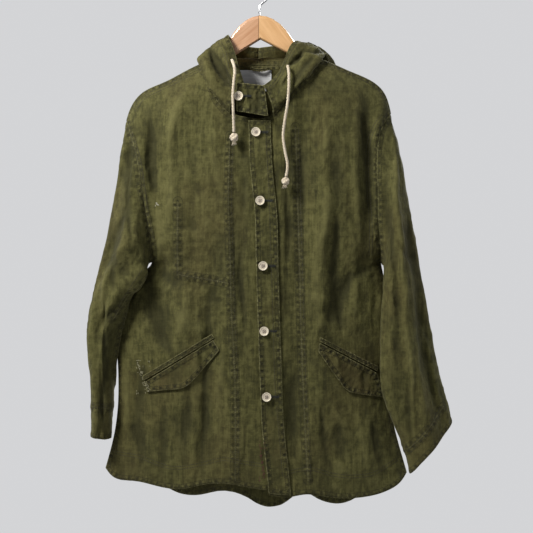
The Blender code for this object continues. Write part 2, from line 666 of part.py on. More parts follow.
def sleeve_push(creases, place, share):
    """How far the creases push a sleeve's face out at a section and a share across it."""
    push = 0.0
    for crease in creases:
        along = (place - crease.rib_start) / (crease.rib_end - crease.rib_start)
        near = min(max(along, 0.0), 1.0)
        centre = crease.at_start + (crease.at_end - crease.at_start) * near
        fade = math.exp(-((along - near) * 3.0) ** 2)
        push += crease.depth * fade * math.exp(-((share - centre) / crease.width) ** 2)
    return push


def sleeve_point(side, place, share, sign):
    """Outer face of a sleeve; share runs from its outer end to its inner one, sign is -1 in front."""
    armhole = armhole_at(side, share)
    if place <= 0.0:
        depth = armhole_depth(side, armhole[1])
        return Vector((armhole[0], sign * depth, armhole[1]))
    rib = rib_at(side, max(place, 1.0))
    outer = Vector((rib.outer_x, rib.outer_y, rib.outer_z))
    inner = Vector((rib.inner_x, rib.inner_y, rib.inner_z))
    creases = SLEEVE_CREASES[side] if sign < 0 else BACK_CREASES
    rise = bulge(share, SLEEVE_POWER)
    depth = (rib.front if sign < 0 else rib.back) * rise
    depth += sleeve_push(creases, place, share) * min(rise * 1.4, 1.0) * smooth_step(place)
    across = (inner - outer).normalized()
    out = Vector((0.0, 1.0, 0.0))
    out = (out - across * out.dot(across)).normalized()
    return outer.lerp(inner, share) + out * sign * depth


def clear_of_body(side, point):
    """Where a sleeve crosses the body's edge it lies in front of it."""
    reach = side_reach(side, point.z)
    beyond = abs(point.x) - reach
    if point.z > ARMHOLE[side][-1].z - 2.0 or beyond > SLEEVE_FREE:
        return point
    near = side * min(abs(point.x), reach - 0.01)
    front = body_point(near, -run_at(near, point.z)).y
    limit = front - SLEEVE_CLEAR + max(beyond - SLEEVE_NEAR, 0.0) * 2.5
    return Vector((point.x, min(point.y, limit), point.z))


def make_sleeves(material):
    shares = eased(ARMHOLE_ROWS)
    around = [(share, -1) for share in shares] + [(share, 1) for share in shares[-2:0:-1]]
    sections = np.concatenate(([0.0, 0.55], np.linspace(1.0, len(RIBS[RIGHT]), SLEEVE_ROWS - 1)))
    for side, name in ((RIGHT, "sleeve_right"), (LEFT, "sleeve_left")):
        points = []
        for place in sections:
            row = []
            for share, sign in around:
                if 0.0 < place < 1.0:
                    start = sleeve_point(side, 0.0, share, sign)
                    row.append(start.lerp(sleeve_point(side, 1.0, share, sign), place))
                else:
                    row.append(sleeve_point(side, place, share, sign))
            points.append([clear_of_body(side, point) for point in row] if place > 0.0 else row)
        normals = tube_normals(points)
        for column, (share, sign) in enumerate(around):
            normals[0][column] = loop_direction(side, share, sign)
        normals[0][0] = loop_direction(side, 0.0, 1)
        points = pull_in(points, row_ends=(1, 0))
        cloth(name, points, normals, material, wraps=True)


def tube_normals(points):
    """Unit directions out of a tube made of closed rings."""
    spots = np.array([[tuple(point) for point in row] for row in points])
    down = np.gradient(spots, axis=0)
    over = np.roll(spots, -1, axis=1) - np.roll(spots, 1, axis=1)
    normals = np.cross(over, down)
    normals /= np.linalg.norm(normals, axis=2, keepdims=True) + 1e-12
    centres = spots.mean(axis=1, keepdims=True)
    if np.sum(normals * (spots - centres)) < 0:
        normals = -normals
    return [[Vector(normal) for normal in row] for row in normals]


def hood_seam(side):
    """Neck seam of one half of the hood, from the throat to the middle of the back."""
    shown = neck_line(side)[::-1][TAB_COLUMNS:]
    back = back_neck_line()
    half = BACK_NECK_COLUMNS // 2
    rest = back[1:half + 1] if side == RIGHT else back[half:-1][::-1]
    lift = over_lift if side == LEFT else (lambda x: 0.0)
    points = [body_point(x, min(run, -AT_CREST), lift(x)) for x, run in shown]
    return points + [body_point(x, run) for x, run in rest]


def make_hoods(material):
    for side, name in ((RIGHT, "hood_right"), (LEFT, "hood_left")):
        seam = hood_seam(side)
        stations = even(len(HOOD[side]) - 1)
        controls = []
        for column in Stand._fields:
            track = np.array([getattr(row, column) for row in HOOD[side]], dtype=float)
            slopes = np.gradient(track, stations, axis=0)
            controls.append((track, slopes))
        grid = []
        for index, start in enumerate(seam):
            place = index / (len(seam) - 1)
            first = min(int(place * (len(stations) - 1)), len(stations) - 2)
            share = (place - stations[first]) * (len(stations) - 1)
            path = [tuple(start)]
            path += [tuple(hermite(track, slopes, stations, first, share)) for track, slopes in controls]
            grid.append([Vector(spot) for spot in curve_through(path, even(HOOD_ROWS))])
        points = [list(row) for row in zip(*grid)]
        for row in points:
            row[-1].x = side * SEAM_GAP / 2.0
        for column in range(len(seam)):
            points[0][column].z += SEAM_GAP
        normals = grid_normals(points, (0.0, 40.0, -100.0))
        for column in range(len(seam)):
            normals[0][column] = neck_direction(points[0][column])
        for row in normals:
            row[-1] = Vector((0.0, row[-1].y, row[-1].z)).normalized()
        cloth(name, points, normals, material)


def face_of(points):
    """The faces of a panel's own outer points, to lay other pieces on."""
    columns = len(points[0])
    faces = []
    for row in range(len(points) - 1):
        for column in range(columns - 1):
            start = row * columns + column
            faces.append((start, start + 1, start + columns + 1, start + columns))
    return BVHTree.FromPolygons([point for row in points for point in row], faces)


def laid_on(panel, x, z, lift):
    """Place on a panel's own faces, moved out to the front."""
    spot = panel.ray_cast(Vector((x, -400.0, z)), Vector((0.0, 1.0, 0.0)))[0]
    return Vector((x, spot.y - lift, z))


def patch(panel, corners, rows, columns, lift, bend=None):
    """Grid on a panel between four flat corners; bend moves places on the flat."""
    points = []
    for up in even(rows):
        row = []
        for over in even(columns):
            top = np.array(corners.top_inner) * (1 - over) + np.array(corners.top_outer) * over
            low = np.array(corners.bottom_inner) * (1 - over) + np.array(corners.bottom_outer) * over
            x, z = low * (1 - up) + top * up
            if bend:
                x, z = bend(x, z, over, up)
            row.append(laid_on(panel, x, z, lift))
        points.append(row)
    return points


def make_placket(material):
    points = []
    for share in even(SIDE_ROWS + ARMHOLE_ROWS)[::-1]:
        x, z = curve_through(FRONT_EDGE, [share])[0]
        row = []
        for over in even(3):
            spot = x - 0.6 + PLACKET_WIDTH * over
            drop = 4.0 * over * smooth_step((share - 0.9) * 10.0)
            row.append(body_point(spot, -run_at(spot, z - drop + 3.0 * (share > 0.999)), 2.0 * LAYER))
        points.append(row)
    cloth("placket", points, grid_normals(points, (0.0, 0.0, -600.0)), material)


def make_pockets(material, panels):
    for side, word in ((RIGHT, "right"), (LEFT, "left")):
        points = patch(panels[side], WELT[side], 1, 12, LAYER + 1.0)
        cloth("pocket_welt_" + word, points, grid_normals(points, (0.0, 0.0, -600.0)), material)
        corner = FLAP_POINT[side]
        corners = FLAP[side]
        reach = (corner.x - corners.bottom_inner.x) / (corners.bottom_outer.x - corners.bottom_inner.x)
        line = corners.bottom_inner.z + (corners.bottom_outer.z - corners.bottom_inner.z) * reach

        def bend(x, z, over, up):
            peak = over / reach if over < reach else (1.0 - over) / (1.0 - reach)
            return x, z + (corner.z - line) * peak * (1.0 - up)

        points = patch(panels[side], corners, 4, 10, LAYER + 1.3, bend)
        cloth("pocket_flap_" + word, points, grid_normals(points, (0.0, 0.0, -600.0)), material)


def make_tab(material):
    points = []
    for up in even(3):
        row = []
        for over in even(5):
            low = np.array(TAB_BOTTOM[0]) * (1 - over) + np.array(TAB_BOTTOM[1]) * over
            top = np.array(TAB_TOP[0]) * (1 - over) + np.array(TAB_TOP[1]) * over
            x, z = low * (1 - up) + top * up
            row.append(Vector((x, TAB_FRONT - TAB_BOW * math.sin(math.pi * over), z)))
        points.append(row)
    cloth("throat_tab", points, grid_normals(points, (0.0, 0.0, -220.0)), material)


def make_label(material):
    points = []
    for up in even(3):
        row = []
        for over in even(4):
            x = LABEL_CENTRE.x + LABEL_HALF.x * (2 * over - 1)
            z = LABEL_CENTRE.z + LABEL_HALF.z * (2 * up - 1)
            row.append(body_point(x, run_at(x, z), -WALL - LABEL_INSIDE))
        points.append(row)
    cloth("label", points, grid_normals(points, (0.0, 400.0, -600.0)), material, wall=-LABEL_WALL)


def make_hanging_loop(material):
    """Short strap at the back of the neck, bowed away from the cloth."""
    points = []
    for up in (0.0, 1.0):
        row = []
        for over in even(8):
            bow = LOOP_BOW * math.sin(math.pi * over)
            x, y, z = LOOP_MIDDLE
            row.append(Vector((x + LOOP_HALF * (2 * over - 1), y - bow, z + LOOP_WIDTH * up - bow)))
        points.append(row)
    cloth("hanging_loop", points, grid_normals(points, (0.0, 0.0, -150.0)), material, wall=LOOP_WALL)


def lathe(name, profile, segments, centre, normal, material):
    """Turned piece: profile rows are radius and height along the axis, first and last on the axis."""
    axis = normal.normalized()
    across = axis.orthogonal().normalized()
    other = axis.cross(across)
    vertices = [centre + axis * profile[0][1]]
    for radius, height in profile[1:-1]:
        for step in range(segments):
            angle = 2.0 * math.pi * step / segments
            outwards = across * math.cos(angle) + other * math.sin(angle)
            vertices.append(centre + axis * height + outwards * radius)
    vertices.append(centre + axis * profile[-1][1])
    faces = []
    rings = len(profile) - 2
    for step in range(segments):
        follow = (step + 1) % segments
        faces.append([0, 1 + follow, 1 + step])
        for ring in range(rings - 1):
            low = 1 + ring * segments
            high = low + segments
            faces.append([low + step, low + follow, high + follow, high + step])
        low = 1 + (rings - 1) * segments
        faces.append([low + step, low + follow, len(vertices) - 1])
    return new_object(name, vertices, faces, material)


def make_buttons(material):
    dish = BUTTON_THICK - 0.9
    profile = ((0.0, 0.0), (BUTTON_RADIUS - 1.2, 0.0), (BUTTON_RADIUS, 1.0),
               (BUTTON_RADIUS - 0.4, BUTTON_THICK), (BUTTON_RADIUS - 1.6, BUTTON_THICK),
               (BUTTON_RADIUS - 2.8, dish), (0.0, dish))
    for index, spot in enumerate(BUTTONS, start=1):
        seat = body_point(spot.x, -run_at(spot.x, spot.z), 2.0 * LAYER + 1.0)
        lathe("button_%d" % index, profile, 20, seat, Vector((0.0, -1.0, 0.04)), material)
    seat = Vector((COLLAR_BUTTON.x + 6.0, TAB_FRONT - 2.4, COLLAR_BUTTON.z))
    lathe("button_collar", profile, 20, seat, Vector((0.0, -1.0, 0.0)), material)


def tube(name, route, radius, spacing, material):
    """Round cord or wire of one smooth curve through the route."""
    points = [Vector(spot) for spot in route]
    length = sum((b - a).length for a, b in zip(points, points[1:]))
    count = max(int(length / spacing), 4)
    spots = curve_through(route, even(count))
    curve = bpy.data.curves.new(name, "CURVE")
    curve.dimensions = "3D"
    curve.bevel_depth = radius * MM
    curve.bevel_resolution = 2
    curve.use_fill_caps = True
    spline = curve.splines.new("POLY")
    spline.points.add(len(spots) - 1)
    for point, spot in zip(spline.points, spots):
        point.co = (*(spot * MM), 1.0)
    curve.materials.append(material)
    piece = bpy.data.objects.new(name, curve)
    bpy.context.collection.objects.link(piece)
    return spots


def make_cords(material):
    for side, word in ((RIGHT, "right"), (LEFT, "left")):
        spots = tube("cord_" + word, CORD_ROUTES[side], CORD_RADIUS, 3.0 * CORD_RADIUS * 2.0, material)
        end = Vector(spots[-1])
        along = (end - Vector(spots[-2])).normalized()
        radius = KNOT_RADIUS[side]
        profile = ((0.0, 0.0), (CORD_RADIUS, 0.0), (radius * 0.75, radius * 0.45), (radius, radius * 1.1),
                   (radius * 0.78, radius * 1.75), (radius * 0.42, radius * 2.1), (0.0, radius * 2.3))
        lathe("knot_" + word, profile, 12, end + along * SEAM_GAP, along, material)


def tilted(spot):
    """A place on the hanger as it hangs, a little turned about the hook's rest."""
    cosine = math.cos(HANGER_TILT)
    sine = math.sin(HANGER_TILT)
    return Vector((spot.x * cosine - spot.z * sine, spot.y, spot.x * sine + spot.z * cosine))


def make_hanger(wood, steel):
    stations = (0, 0.05, 0.1, 0.16, 0.22, 0.28, 0.34, 0.42, 0.5, 0.58, 0.66, 0.74, 0.82, 0.9, 0.96, 1.0)
    top = curve_through(WOOD_TOP, stations)
    low = curve_through(WOOD_BOTTOM, stations)
    upper = [(-x, z) for x, z in top[:0:-1]] + [tuple(spot) for spot in top]
    lower = [(-x, z) for x, z in low[:0:-1]] + [tuple(spot) for spot in low]
    rings = []
    for (x_top, z_top), (x_low, z_low) in zip(upper, lower):
        height = math.hypot(x_top - x_low, z_top - z_low)
        corner = min(WOOD_HALF * 0.9, height * 0.45)
        ring = []
        for sign in (-1, 1):
            for turn in (90, 60, 30, 0, -30, -60):
                angle = math.radians(-sign * turn)
                depth = sign * (WOOD_HALF - corner + corner * math.cos(angle))
                share = corner * (1.0 - abs(math.sin(angle))) / height
                if angle < 0.0:
                    share = 1.0 - share
                ring.append(Vector((x_top + (x_low - x_top) * share, depth,
                                    z_top + (z_low - z_top) * share)))
        rings.append(ring)
    count = len(rings[0])
    vertices = [vertex for ring in rings for vertex in ring]
    faces = [list(range(count))[::-1], [(len(rings) - 1) * count + step for step in range(count)]]
    for ring in range(len(rings) - 1):
        for step in range(count):
            follow = (step + 1) % count
            faces.append([ring * count + step, ring * count + follow,
                          (ring + 1) * count + follow, (ring + 1) * count + step])
    new_object("hanger_wood", [tilted(vertex) for vertex in vertices], faces, wood)
    route = [tilted(Vector((spot.x, 0.0, spot.z))) for spot in HOOK_ROUTE]
    tube("hanger_hook", route, HOOK_RADIUS, 6.5, steel)


NECK_RING = neck_ring()


def main():
    for piece in list(bpy.data.objects):
        bpy.data.objects.remove(piece)
    linen = material_for("linen", 0.85)
    panels = make_fronts(linen)
    make_back(linen)
    make_sleeves(linen)
    make_hoods(linen)
    make_placket(linen)
    make_pockets(linen, panels)
    make_tab(linen)
    make_hanging_loop(linen)
    make_label(material_for("label", 0.7))
    make_buttons(material_for("button", 0.45))
    make_cords(material_for("cord", 0.9))
    make_hanger(material_for("wood", 0.4), material_for("steel", 0.25, 1.0))


main()
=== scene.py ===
import math
import bpy
import bmesh
import numpy as np
from mathutils import Matrix, Vector, noise
from mathutils.bvhtree import BVHTree
from mathutils.kdtree import KDTree


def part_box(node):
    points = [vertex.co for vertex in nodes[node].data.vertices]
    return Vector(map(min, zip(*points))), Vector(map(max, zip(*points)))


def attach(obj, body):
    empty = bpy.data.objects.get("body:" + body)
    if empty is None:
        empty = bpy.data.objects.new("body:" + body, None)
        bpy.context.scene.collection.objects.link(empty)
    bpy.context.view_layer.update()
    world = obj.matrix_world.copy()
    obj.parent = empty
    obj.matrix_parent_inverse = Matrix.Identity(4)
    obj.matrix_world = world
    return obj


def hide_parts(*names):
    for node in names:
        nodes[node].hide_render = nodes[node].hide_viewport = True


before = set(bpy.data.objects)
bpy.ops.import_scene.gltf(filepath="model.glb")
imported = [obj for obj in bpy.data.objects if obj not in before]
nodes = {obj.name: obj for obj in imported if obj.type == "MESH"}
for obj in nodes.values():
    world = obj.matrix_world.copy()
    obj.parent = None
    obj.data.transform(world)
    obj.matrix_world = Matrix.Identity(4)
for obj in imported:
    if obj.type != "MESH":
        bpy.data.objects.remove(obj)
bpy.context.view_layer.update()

# A hooded olive linen jacket on a wooden hanger, seen straight on. Tables are in millimetres as x, z.
mm = 0.001
scene = bpy.context.scene


# Camera and light.
view = {"distance": 2.24, "centreX": 0.015, "centreZ": -0.52, "frameWidth": 0.96, "sensor": 36.0,
        "frontDepth": 0.04}  # how far before the hanger the frame's width is measured
light = {"seenWorld": (0.655, 0.66, 0.675), "worldStrength": 0.22, "keyWatts": 60.0, "fillWatts": 12.0,
         "backWatts": 75.0, "sideWatts": 18.0, "floorHalf": 1.3, "floorHeight": -1.7}


def makeCamera():
    data = bpy.data.cameras.new("camera")
    data.sensor_width = view["sensor"]
    data.lens = view["sensor"] * (view["distance"] - view["frontDepth"]) / view["frameWidth"]
    camera = bpy.data.objects.new("camera", data)
    camera.location = (view["centreX"], -view["distance"], view["centreZ"])
    camera.rotation_euler = (math.radians(90), 0, 0)
    scene.collection.objects.link(camera)
    scene.camera = camera


def makeLight(name, place, target, size, watts, tint=(1, 1, 1)):
    data = bpy.data.lights.new(name, "AREA")
    data.size = size
    data.energy = watts
    data.color = tint
    lamp = bpy.data.objects.new(name, data)
    lamp.location = place
    lamp.rotation_euler = (Vector(target) - Vector(place)).to_track_quat("-Z", "Y").to_euler()
    scene.collection.objects.link(lamp)


def makeStudio():
    makeLight("key", (-1.15, -1.1, 0.85), (0, 0, -0.5), 0.55, light["keyWatts"], (1, 0.99, 0.96))
    makeLight("fill", (2.2, -1.8, -0.2), (0, 0, -0.6), 2.0, light["fillWatts"], (0.95, 0.97, 1))
    makeLight("behind", (1.0, 1.9, 0.9), (0, 0, -0.5), 1.0, light["backWatts"])
    for side in (-1, 1):
        makeLight("side", (side * 2.4, 0.7, 0.2), (0, 0, -0.5), 1.4, light["sideWatts"])
    world = bpy.data.worlds.new("studio")  # pale to the eye, and dimmer as a light
    world.use_nodes = True
    tree = world.node_tree
    background = tree.nodes["Background"]
    background.inputs["Color"].default_value = (*light["seenWorld"], 1)
    path = tree.nodes.new("ShaderNodeLightPath")
    strength = tree.nodes.new("ShaderNodeMapRange")
    strength.inputs["To Min"].default_value = light["worldStrength"]
    tree.links.new(path.outputs["Is Camera Ray"], strength.inputs["Value"])
    tree.links.new(strength.outputs[0], background.inputs["Strength"])
    scene.world = world
    bm = bmesh.new()
    bmesh.ops.create_grid(bm, x_segments=2, y_segments=2, size=light["floorHalf"])
    bmesh.ops.translate(bm, verts=bm.verts, vec=(0, 0, light["floorHeight"]))
    floor = newObject("floor", bm)
    material = bpy.data.materials.new("floor")
    material.use_nodes = True
    shader = material.node_tree.nodes["Principled BSDF"]
    shader.inputs["Base Color"].default_value = (0.6, 0.6, 0.61, 1)
    shader.inputs["Roughness"].default_value = 0.8
    floor.data.materials.append(material)
    scene.view_settings.view_transform = "Standard"


def newObject(name, bm, material=None, smooth=True):
    mesh = bpy.data.meshes.new(name)
    bm.to_mesh(mesh)
    bm.free()
    if smooth:
        mesh.shade_smooth()
    piece = bpy.data.objects.new(name, mesh)
    scene.collection.objects.link(piece)
    if material:
        mesh.materials.append(material)
    return piece


def carry(piece, slotName, *replaced):
    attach(piece, "root")
    if replaced:
        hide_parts(*replaced)


makeCamera()
makeStudio()
print("camera and light are set")


# Tools for shader nodes.
class Builder:  # short words for making shader nodes
    def __init__(self, tree):
        self.tree = tree

    def add(self, kind, **settings):
        node = self.tree.nodes.new(kind)
        for key, value in settings.items():
            if key in node.inputs:
                node.inputs[key].default_value = value
            else:
                setattr(node, key, value)
        return node

    def link(self, source, target):
        self.tree.links.new(source, target)
        return target

    def math(self, operation, first, second=0.0):
        node = self.add("ShaderNodeMath", operation=operation)
        for socket, value in zip(node.inputs, (first, second)):
            if isinstance(value, (int, float)):
                socket.default_value = value
            else:
                self.link(value, socket)
        return node.outputs[0]

    def noise(self, vector, scale, detail=2.0, roughness=0.5, stretch=(1, 1, 1)):
        spread = self.add("ShaderNodeMapping")
        spread.inputs["Scale"].default_value = stretch
        self.link(vector, spread.inputs["Vector"])
        node = self.add("ShaderNodeTexNoise")
        node.inputs["Scale"].default_value = scale
        node.inputs["Detail"].default_value = detail
        node.inputs["Roughness"].default_value = roughness
        self.link(spread.outputs[0], node.inputs["Vector"])
        return node.outputs["Fac"]

    def span(self, value, low, high, toLow=0.0, toHigh=1.0):
        node = self.add("ShaderNodeMapRange")
        for socket, number in zip(list(node.inputs)[1:5], (low, high, toLow, toHigh)):
            socket.default_value = number
        self.link(value, node.inputs[0])
        return node.outputs[0]

    def near(self, value, middle, inner, outer, top=1.0):  # top at the middle, nothing beyond the outer reach
        away = self.math("ABSOLUTE", self.math("SUBTRACT", value, middle))
        return self.span(away, inner, outer, top, 0.0)

    def bump(self, shader, height, strength, distance):
        node = self.add("ShaderNodeBump")
        node.inputs["Strength"].default_value = strength
        node.inputs["Distance"].default_value = distance
        self.link(height, node.inputs["Height"])
        self.link(node.outputs[0], shader.inputs["Normal"])

    def mix(self, share, first, second):
        node = self.add("ShaderNodeMix", data_type="RGBA")
        sockets = (node.inputs[0], node.inputs[6], node.inputs[7])
        for socket, value in zip(sockets, (share, first, second)):
            if isinstance(value, (int, float)):
                socket.default_value = value
            elif isinstance(value, tuple):
                socket.default_value = (*value, 1)
            else:
                self.link(value, socket)
        return node.outputs[2]


def newGroup(name, inputs, outputs):
    group = bpy.data.node_groups.new(name, "ShaderNodeTree")
    for label, kind in inputs:
        group.interface.new_socket(label, in_out="INPUT", socket_type=kind)
    for label, kind in outputs:
        group.interface.new_socket(label, in_out="OUTPUT", socket_type=kind)
    build = Builder(group)
    return group, build, build.add("NodeGroupInput"), build.add("NodeGroupOutput")


def newMaterial(name):
    material = bpy.data.materials.new(name)
    material.use_nodes = True
    build = Builder(material.node_tree)
    return material, build, material.node_tree.nodes["Principled BSDF"]


def useGroup(build, group):
    node = build.add("ShaderNodeGroup")
    node.node_tree = group
    return node


# Yarns of a plain weave: slubs and faded streaks run down the cloth, and the dye took unevenly.
weave = {"yarnScale": 620.0, "streakScale": 190.0, "fadeScale": 30.0, "mottleScale": 70.0,
         "crumpleScale": 70.0}
seams = {"firstRow": 2.2, "secondRow": 8.2, "stitch": 3.6, "rib": 9.0, "dip": 13.4}


def makeWeaveGroup():
    group, build, start, end = newGroup("weave", [("Vector", "NodeSocketVector")],
                                        [("Yarn", "NodeSocketFloat"), ("Height", "NodeSocketFloat"),
                                         ("Mottle", "NodeSocketFloat"), ("Blotch", "NodeSocketFloat")])
    place = start.outputs[0]
    down = build.noise(place, weave["yarnScale"], 2, 0.6, (1, 1, 0.06))
    across = build.noise(place, weave["yarnScale"], 2, 0.6, (0.06, 0.06, 1))
    streak = build.noise(place, weave["streakScale"], 4, 0.62, (1, 1, 0.10))
    fade = build.noise(place, weave["fadeScale"], 3, 0.6, (1, 1, 0.16))
    yarns = build.math("ADD", build.math("MULTIPLY", down, 0.6), build.math("MULTIPLY", across, 0.4))
    streaks = build.math("ADD", build.math("MULTIPLY", streak, 0.40), build.math("MULTIPLY", fade, 0.12))
    build.link(build.math("ADD", build.math("MULTIPLY", yarns, 0.36), streaks), end.inputs["Yarn"])
    crumple = build.noise(place, weave["crumpleScale"], 5, 0.66)
    height = build.math("ADD", build.math("MULTIPLY", yarns, 0.30), build.math("MULTIPLY", crumple, 1.5))
    build.link(height, end.inputs["Height"])
    build.link(build.noise(place, weave["mottleScale"], 6, 0.72), end.inputs["Mottle"])
    build.link(build.noise(place, 6.0, 4, 0.6, (1, 1, 0.6)), end.inputs["Blotch"])
    return group


def makeSeamGroup():
    # Two rows of stitches beside a piece's edge, dark dots of painted shade for the pucker dips between them,
    # and the ribs that their pull draws up.
    group, build, start, end = newGroup("seamMarks",
                                        [("Edge", "NodeSocketFloat"), ("Along", "NodeSocketFloat"),
                                         ("Wobble", "NodeSocketFloat")],
                                        [("ThreadAndDipShade", "NodeSocketFloat"), ("Rib", "NodeSocketFloat")])
    edge, along, wobble = start.outputs[:3]
    rows = [build.near(edge, seams[key], 0.35, 0.75) for key in ("firstRow", "secondRow")]
    step = build.math("FRACT", build.math("DIVIDE", along, seams["stitch"]))
    dash = build.math("LESS_THAN", step, 0.74)
    repeat = build.math("FRACT", build.math("DIVIDE", along, seams["dip"]))
    # Dark dots in the dips between the rows: painted shade, sent out together with the thread rows.
    dipShade = build.math("MULTIPLY", build.near(repeat, 0.5, 0.14, 0.30), build.near(edge, 4.8, 1.2, 3.2))
    dipShade = build.math("MULTIPLY", dipShade, build.span(wobble, 0.36, 0.50))
    sewn = build.math("MULTIPLY", build.math("MAXIMUM", *rows), dash)
    build.link(build.math("MAXIMUM", sewn, dipShade), end.inputs["ThreadAndDipShade"])
    phase = build.math("ADD", build.math("MULTIPLY", along, 2 * math.pi / seams["rib"]),
                       build.math("MULTIPLY", wobble, 9.0))
    fade = build.math("MULTIPLY", build.span(edge, 1.0, 13.0, 1.0, 0.0), build.span(wobble, 0.40, 0.56))
    build.link(build.math("MULTIPLY", build.math("SINE", phase), fade), end.inputs["Rib"])
    return group


weaveGroup = makeWeaveGroup()
seamGroup = makeSeamGroup()

# The dye's dark, middle and pale tones; deep and lit are also laid on as painted shade and painted highlight
# on folds and seam ribs, and the pale wear colour also paints the highlight on rib crests.
linenColours = {"deep": (0.021, 0.020, 0.006), "mid": (0.073, 0.069, 0.020), "lit": (0.138, 0.128, 0.046),
                "brown": (0.074, 0.055, 0.019), "wearAndRibHighlight": (0.195, 0.182, 0.082),
                "thread": (0.016, 0.015, 0.006)}


def makeLinen(name, tint=1.0, brownness=0.3, rowStrength=0.7, ribStrength=1.0, rub=0.4):
    material, build, shader = newMaterial(name)
    place = build.add("ShaderNodeTexCoord").outputs["Object"]
    group = useGroup(build, weaveGroup)
    build.link(place, group.inputs["Vector"])
    yarn, height, mottle, blotch = group.outputs
    edge, push, along = [build.add("ShaderNodeAttribute", attribute_name=label).outputs["Fac"]
                         for label in ("edge", "push", "along")]
    marks = useGroup(build, seamGroup)
    for source, target in zip((edge, along, mottle), marks.inputs):
        build.link(source, target)
    thread, rib = marks.outputs
    colours = {key: tuple(channel * tint for channel in value) for key, value in linenColours.items()}
    tone = build.math("ADD", build.math("MULTIPLY", yarn, 0.75), build.math("MULTIPLY", mottle, 0.50))
    colour = build.mix(build.span(tone, 0.42, 0.60), colours["deep"], colours["mid"])
    colour = build.mix(build.span(tone, 0.56, 0.80), colour, colours["lit"])
    colour = build.mix(build.span(blotch, 0.46, 0.62, 0.0, brownness), colour, colours["brown"])
    # Painted highlight on raised folds and painted shade in crease troughs, read from the push attribute.
    colour = build.mix(build.span(push, 0.3, 4.5, 0.0, 0.5), colour, colours["lit"])
    colour = build.mix(build.span(push, -0.4, -4.2, 0.0, 0.72), colour, colours["deep"])
    # Painted shade in the valleys of the seam ribs and a painted highlight on their crests; the rubbed edges
    # below are real wear.
    colour = build.mix(build.span(rib, -0.1, -0.8, 0.0, 0.50 * ribStrength), colour, colours["deep"])
    colour = build.mix(build.span(rib, 0.25, 0.9, 0.0, 0.16 * ribStrength), colour, colours["wearAndRibHighlight"])
    rubbed = build.math("MULTIPLY", build.span(edge, 0.5, 2.2, 1.0, 0.0), build.span(mottle, 0.36, 0.60))
    colour = build.mix(build.math("MULTIPLY", rubbed, rub), colour, colours["wearAndRibHighlight"])
    # Stitch rows in thread colour, and painted shade in the pucker dips beside them.
    colour = build.mix(build.math("MULTIPLY", thread, rowStrength), colour, colours["thread"])
    build.link(colour, shader.inputs["Base Color"])
    shader.inputs["Roughness"].default_value = 0.88
    shader.inputs["Specular IOR Level"].default_value = 0.22
    shader.inputs["Sheen Weight"].default_value = 0.08
    shader.inputs["Sheen Roughness"].default_value = 0.5
    shader.inputs["Sheen Tint"].default_value = (0.55, 0.53, 0.35, 1)
    ribs = build.math("MULTIPLY", rib, 0.42 * ribStrength)
    sewn = build.math("MULTIPLY", thread, -0.25)
    build.bump(shader, build.math("ADD", build.math("ADD", height, ribs), sewn), 0.8, 0.0018)
    return material


linen = makeLinen("linen")
linenBand = makeLinen("linenBand", 1.0, 0.6, 0.85, 1.25, 0.8)
linenTrim = makeLinen("linenTrim", 0.95, 0.7, 0.9, 1.3, 0.7)
print("the linen is made")


# The two ends of the hood's drawstring.
cordSettings = {"radius": 2.9, "lobe": 0.32, "turn": 11.0, "step": 2.2, "sides": 12}
cordRoutes = {
    "right": ((-47, -52, -150), (-44, -60, -158), (-41.5, -66, -171), (-43, -69.5, -190),
              (-44.8, -70.5, -216), (-44, -69.5, -242), (-43.5, -64, -264), (-43.2, -61, -281)),
    "left": ((53, -50, -160), (54.6, -57, -170), (55, -62, -192), (52.6, -64.5, -228), (47, -63, -264),
             (44.6, -61.5, -286), (48, -61, -314), (52.6, -61, -340), (50, -61, -360)),
}
knotRadius = {"right": 8.2, "left": 7.6}


def smoothPath(rows, step):
    # Even places on one smooth curve through the rows.
    points = np.array(rows, float)
    knots = np.concatenate(([0.0], np.cumsum(np.linalg.norm(np.diff(points, axis=0), axis=1))))
    slopes = np.gradient(points, knots, axis=0)
    fine = []
    for index in range(len(points) - 1):
        span = knots[index + 1] - knots[index]
        for share in np.linspace(0, 1, 20, endpoint=False):
            a, b = share * share, share ** 3
            fine.append((2 * b - 3 * a + 1) * points[index] + (b - 2 * a + share) * span * slopes[index]
                        + (3 * a - 2 * b) * points[index + 1] + (b - a) * span * slopes[index + 1])
    fine = np.array(fine + [points[-1]])
    lengths = np.concatenate(([0.0], np.cumsum(np.linalg.norm(np.diff(fine, axis=0), axis=1))))
    wanted = np.linspace(0, lengths[-1], max(int(round(lengths[-1] / step)), 2) + 1)
    return np.stack([np.interp(wanted, lengths, fine[:, axis]) for axis in range(fine.shape[1])], axis=1)


def frameAlong(points, index):
    along = Vector(points[min(index + 1, len(points) - 1)] - points[max(index - 1, 0)]).normalized()
    across = along.cross(Vector((0, 1, 0.2))).normalized()
    return along, across, across.cross(along)


def sweepTube(bm, points, radiusAt):
    # A closed ring is drawn out along the points; radiusAt gives its radius by place and angle.
    sides = cordSettings["sides"]
    ring = None
    for index, point in enumerate(points):
        along, across, other = frameAlong(points, index)
        if ring is None:
            made = bmesh.ops.create_circle(bm, cap_ends=False, segments=sides, radius=1.0)["verts"]
            ring = list(made)
            edges = bm.edges[:]
            bmesh.ops.contextual_create(bm, geom=edges)
        else:
            result = bmesh.ops.extrude_edge_only(bm, edges=edges)["geom"]
            edges = [item for item in result if isinstance(item, bmesh.types.BMEdge)]
            fresh = {item for item in result if isinstance(item, bmesh.types.BMVert)}
            ring = [next(edge.other_vert(vertex) for edge in vertex.link_edges
                         if edge.other_vert(vertex) in fresh) for vertex in ring]
            edges = [edge for edge in edges if edge.verts[0] in fresh and edge.verts[1] in fresh]
        for step, vertex in enumerate(ring):
            angle = 2 * math.pi * step / sides
            radius = radiusAt(index, angle)
            vertex.co = (Vector(point) + (across * math.cos(angle) + other * math.sin(angle)) * radius) * mm
    bmesh.ops.contextual_create(bm, geom=edges)
    bmesh.ops.recalc_face_normals(bm, faces=bm.faces)


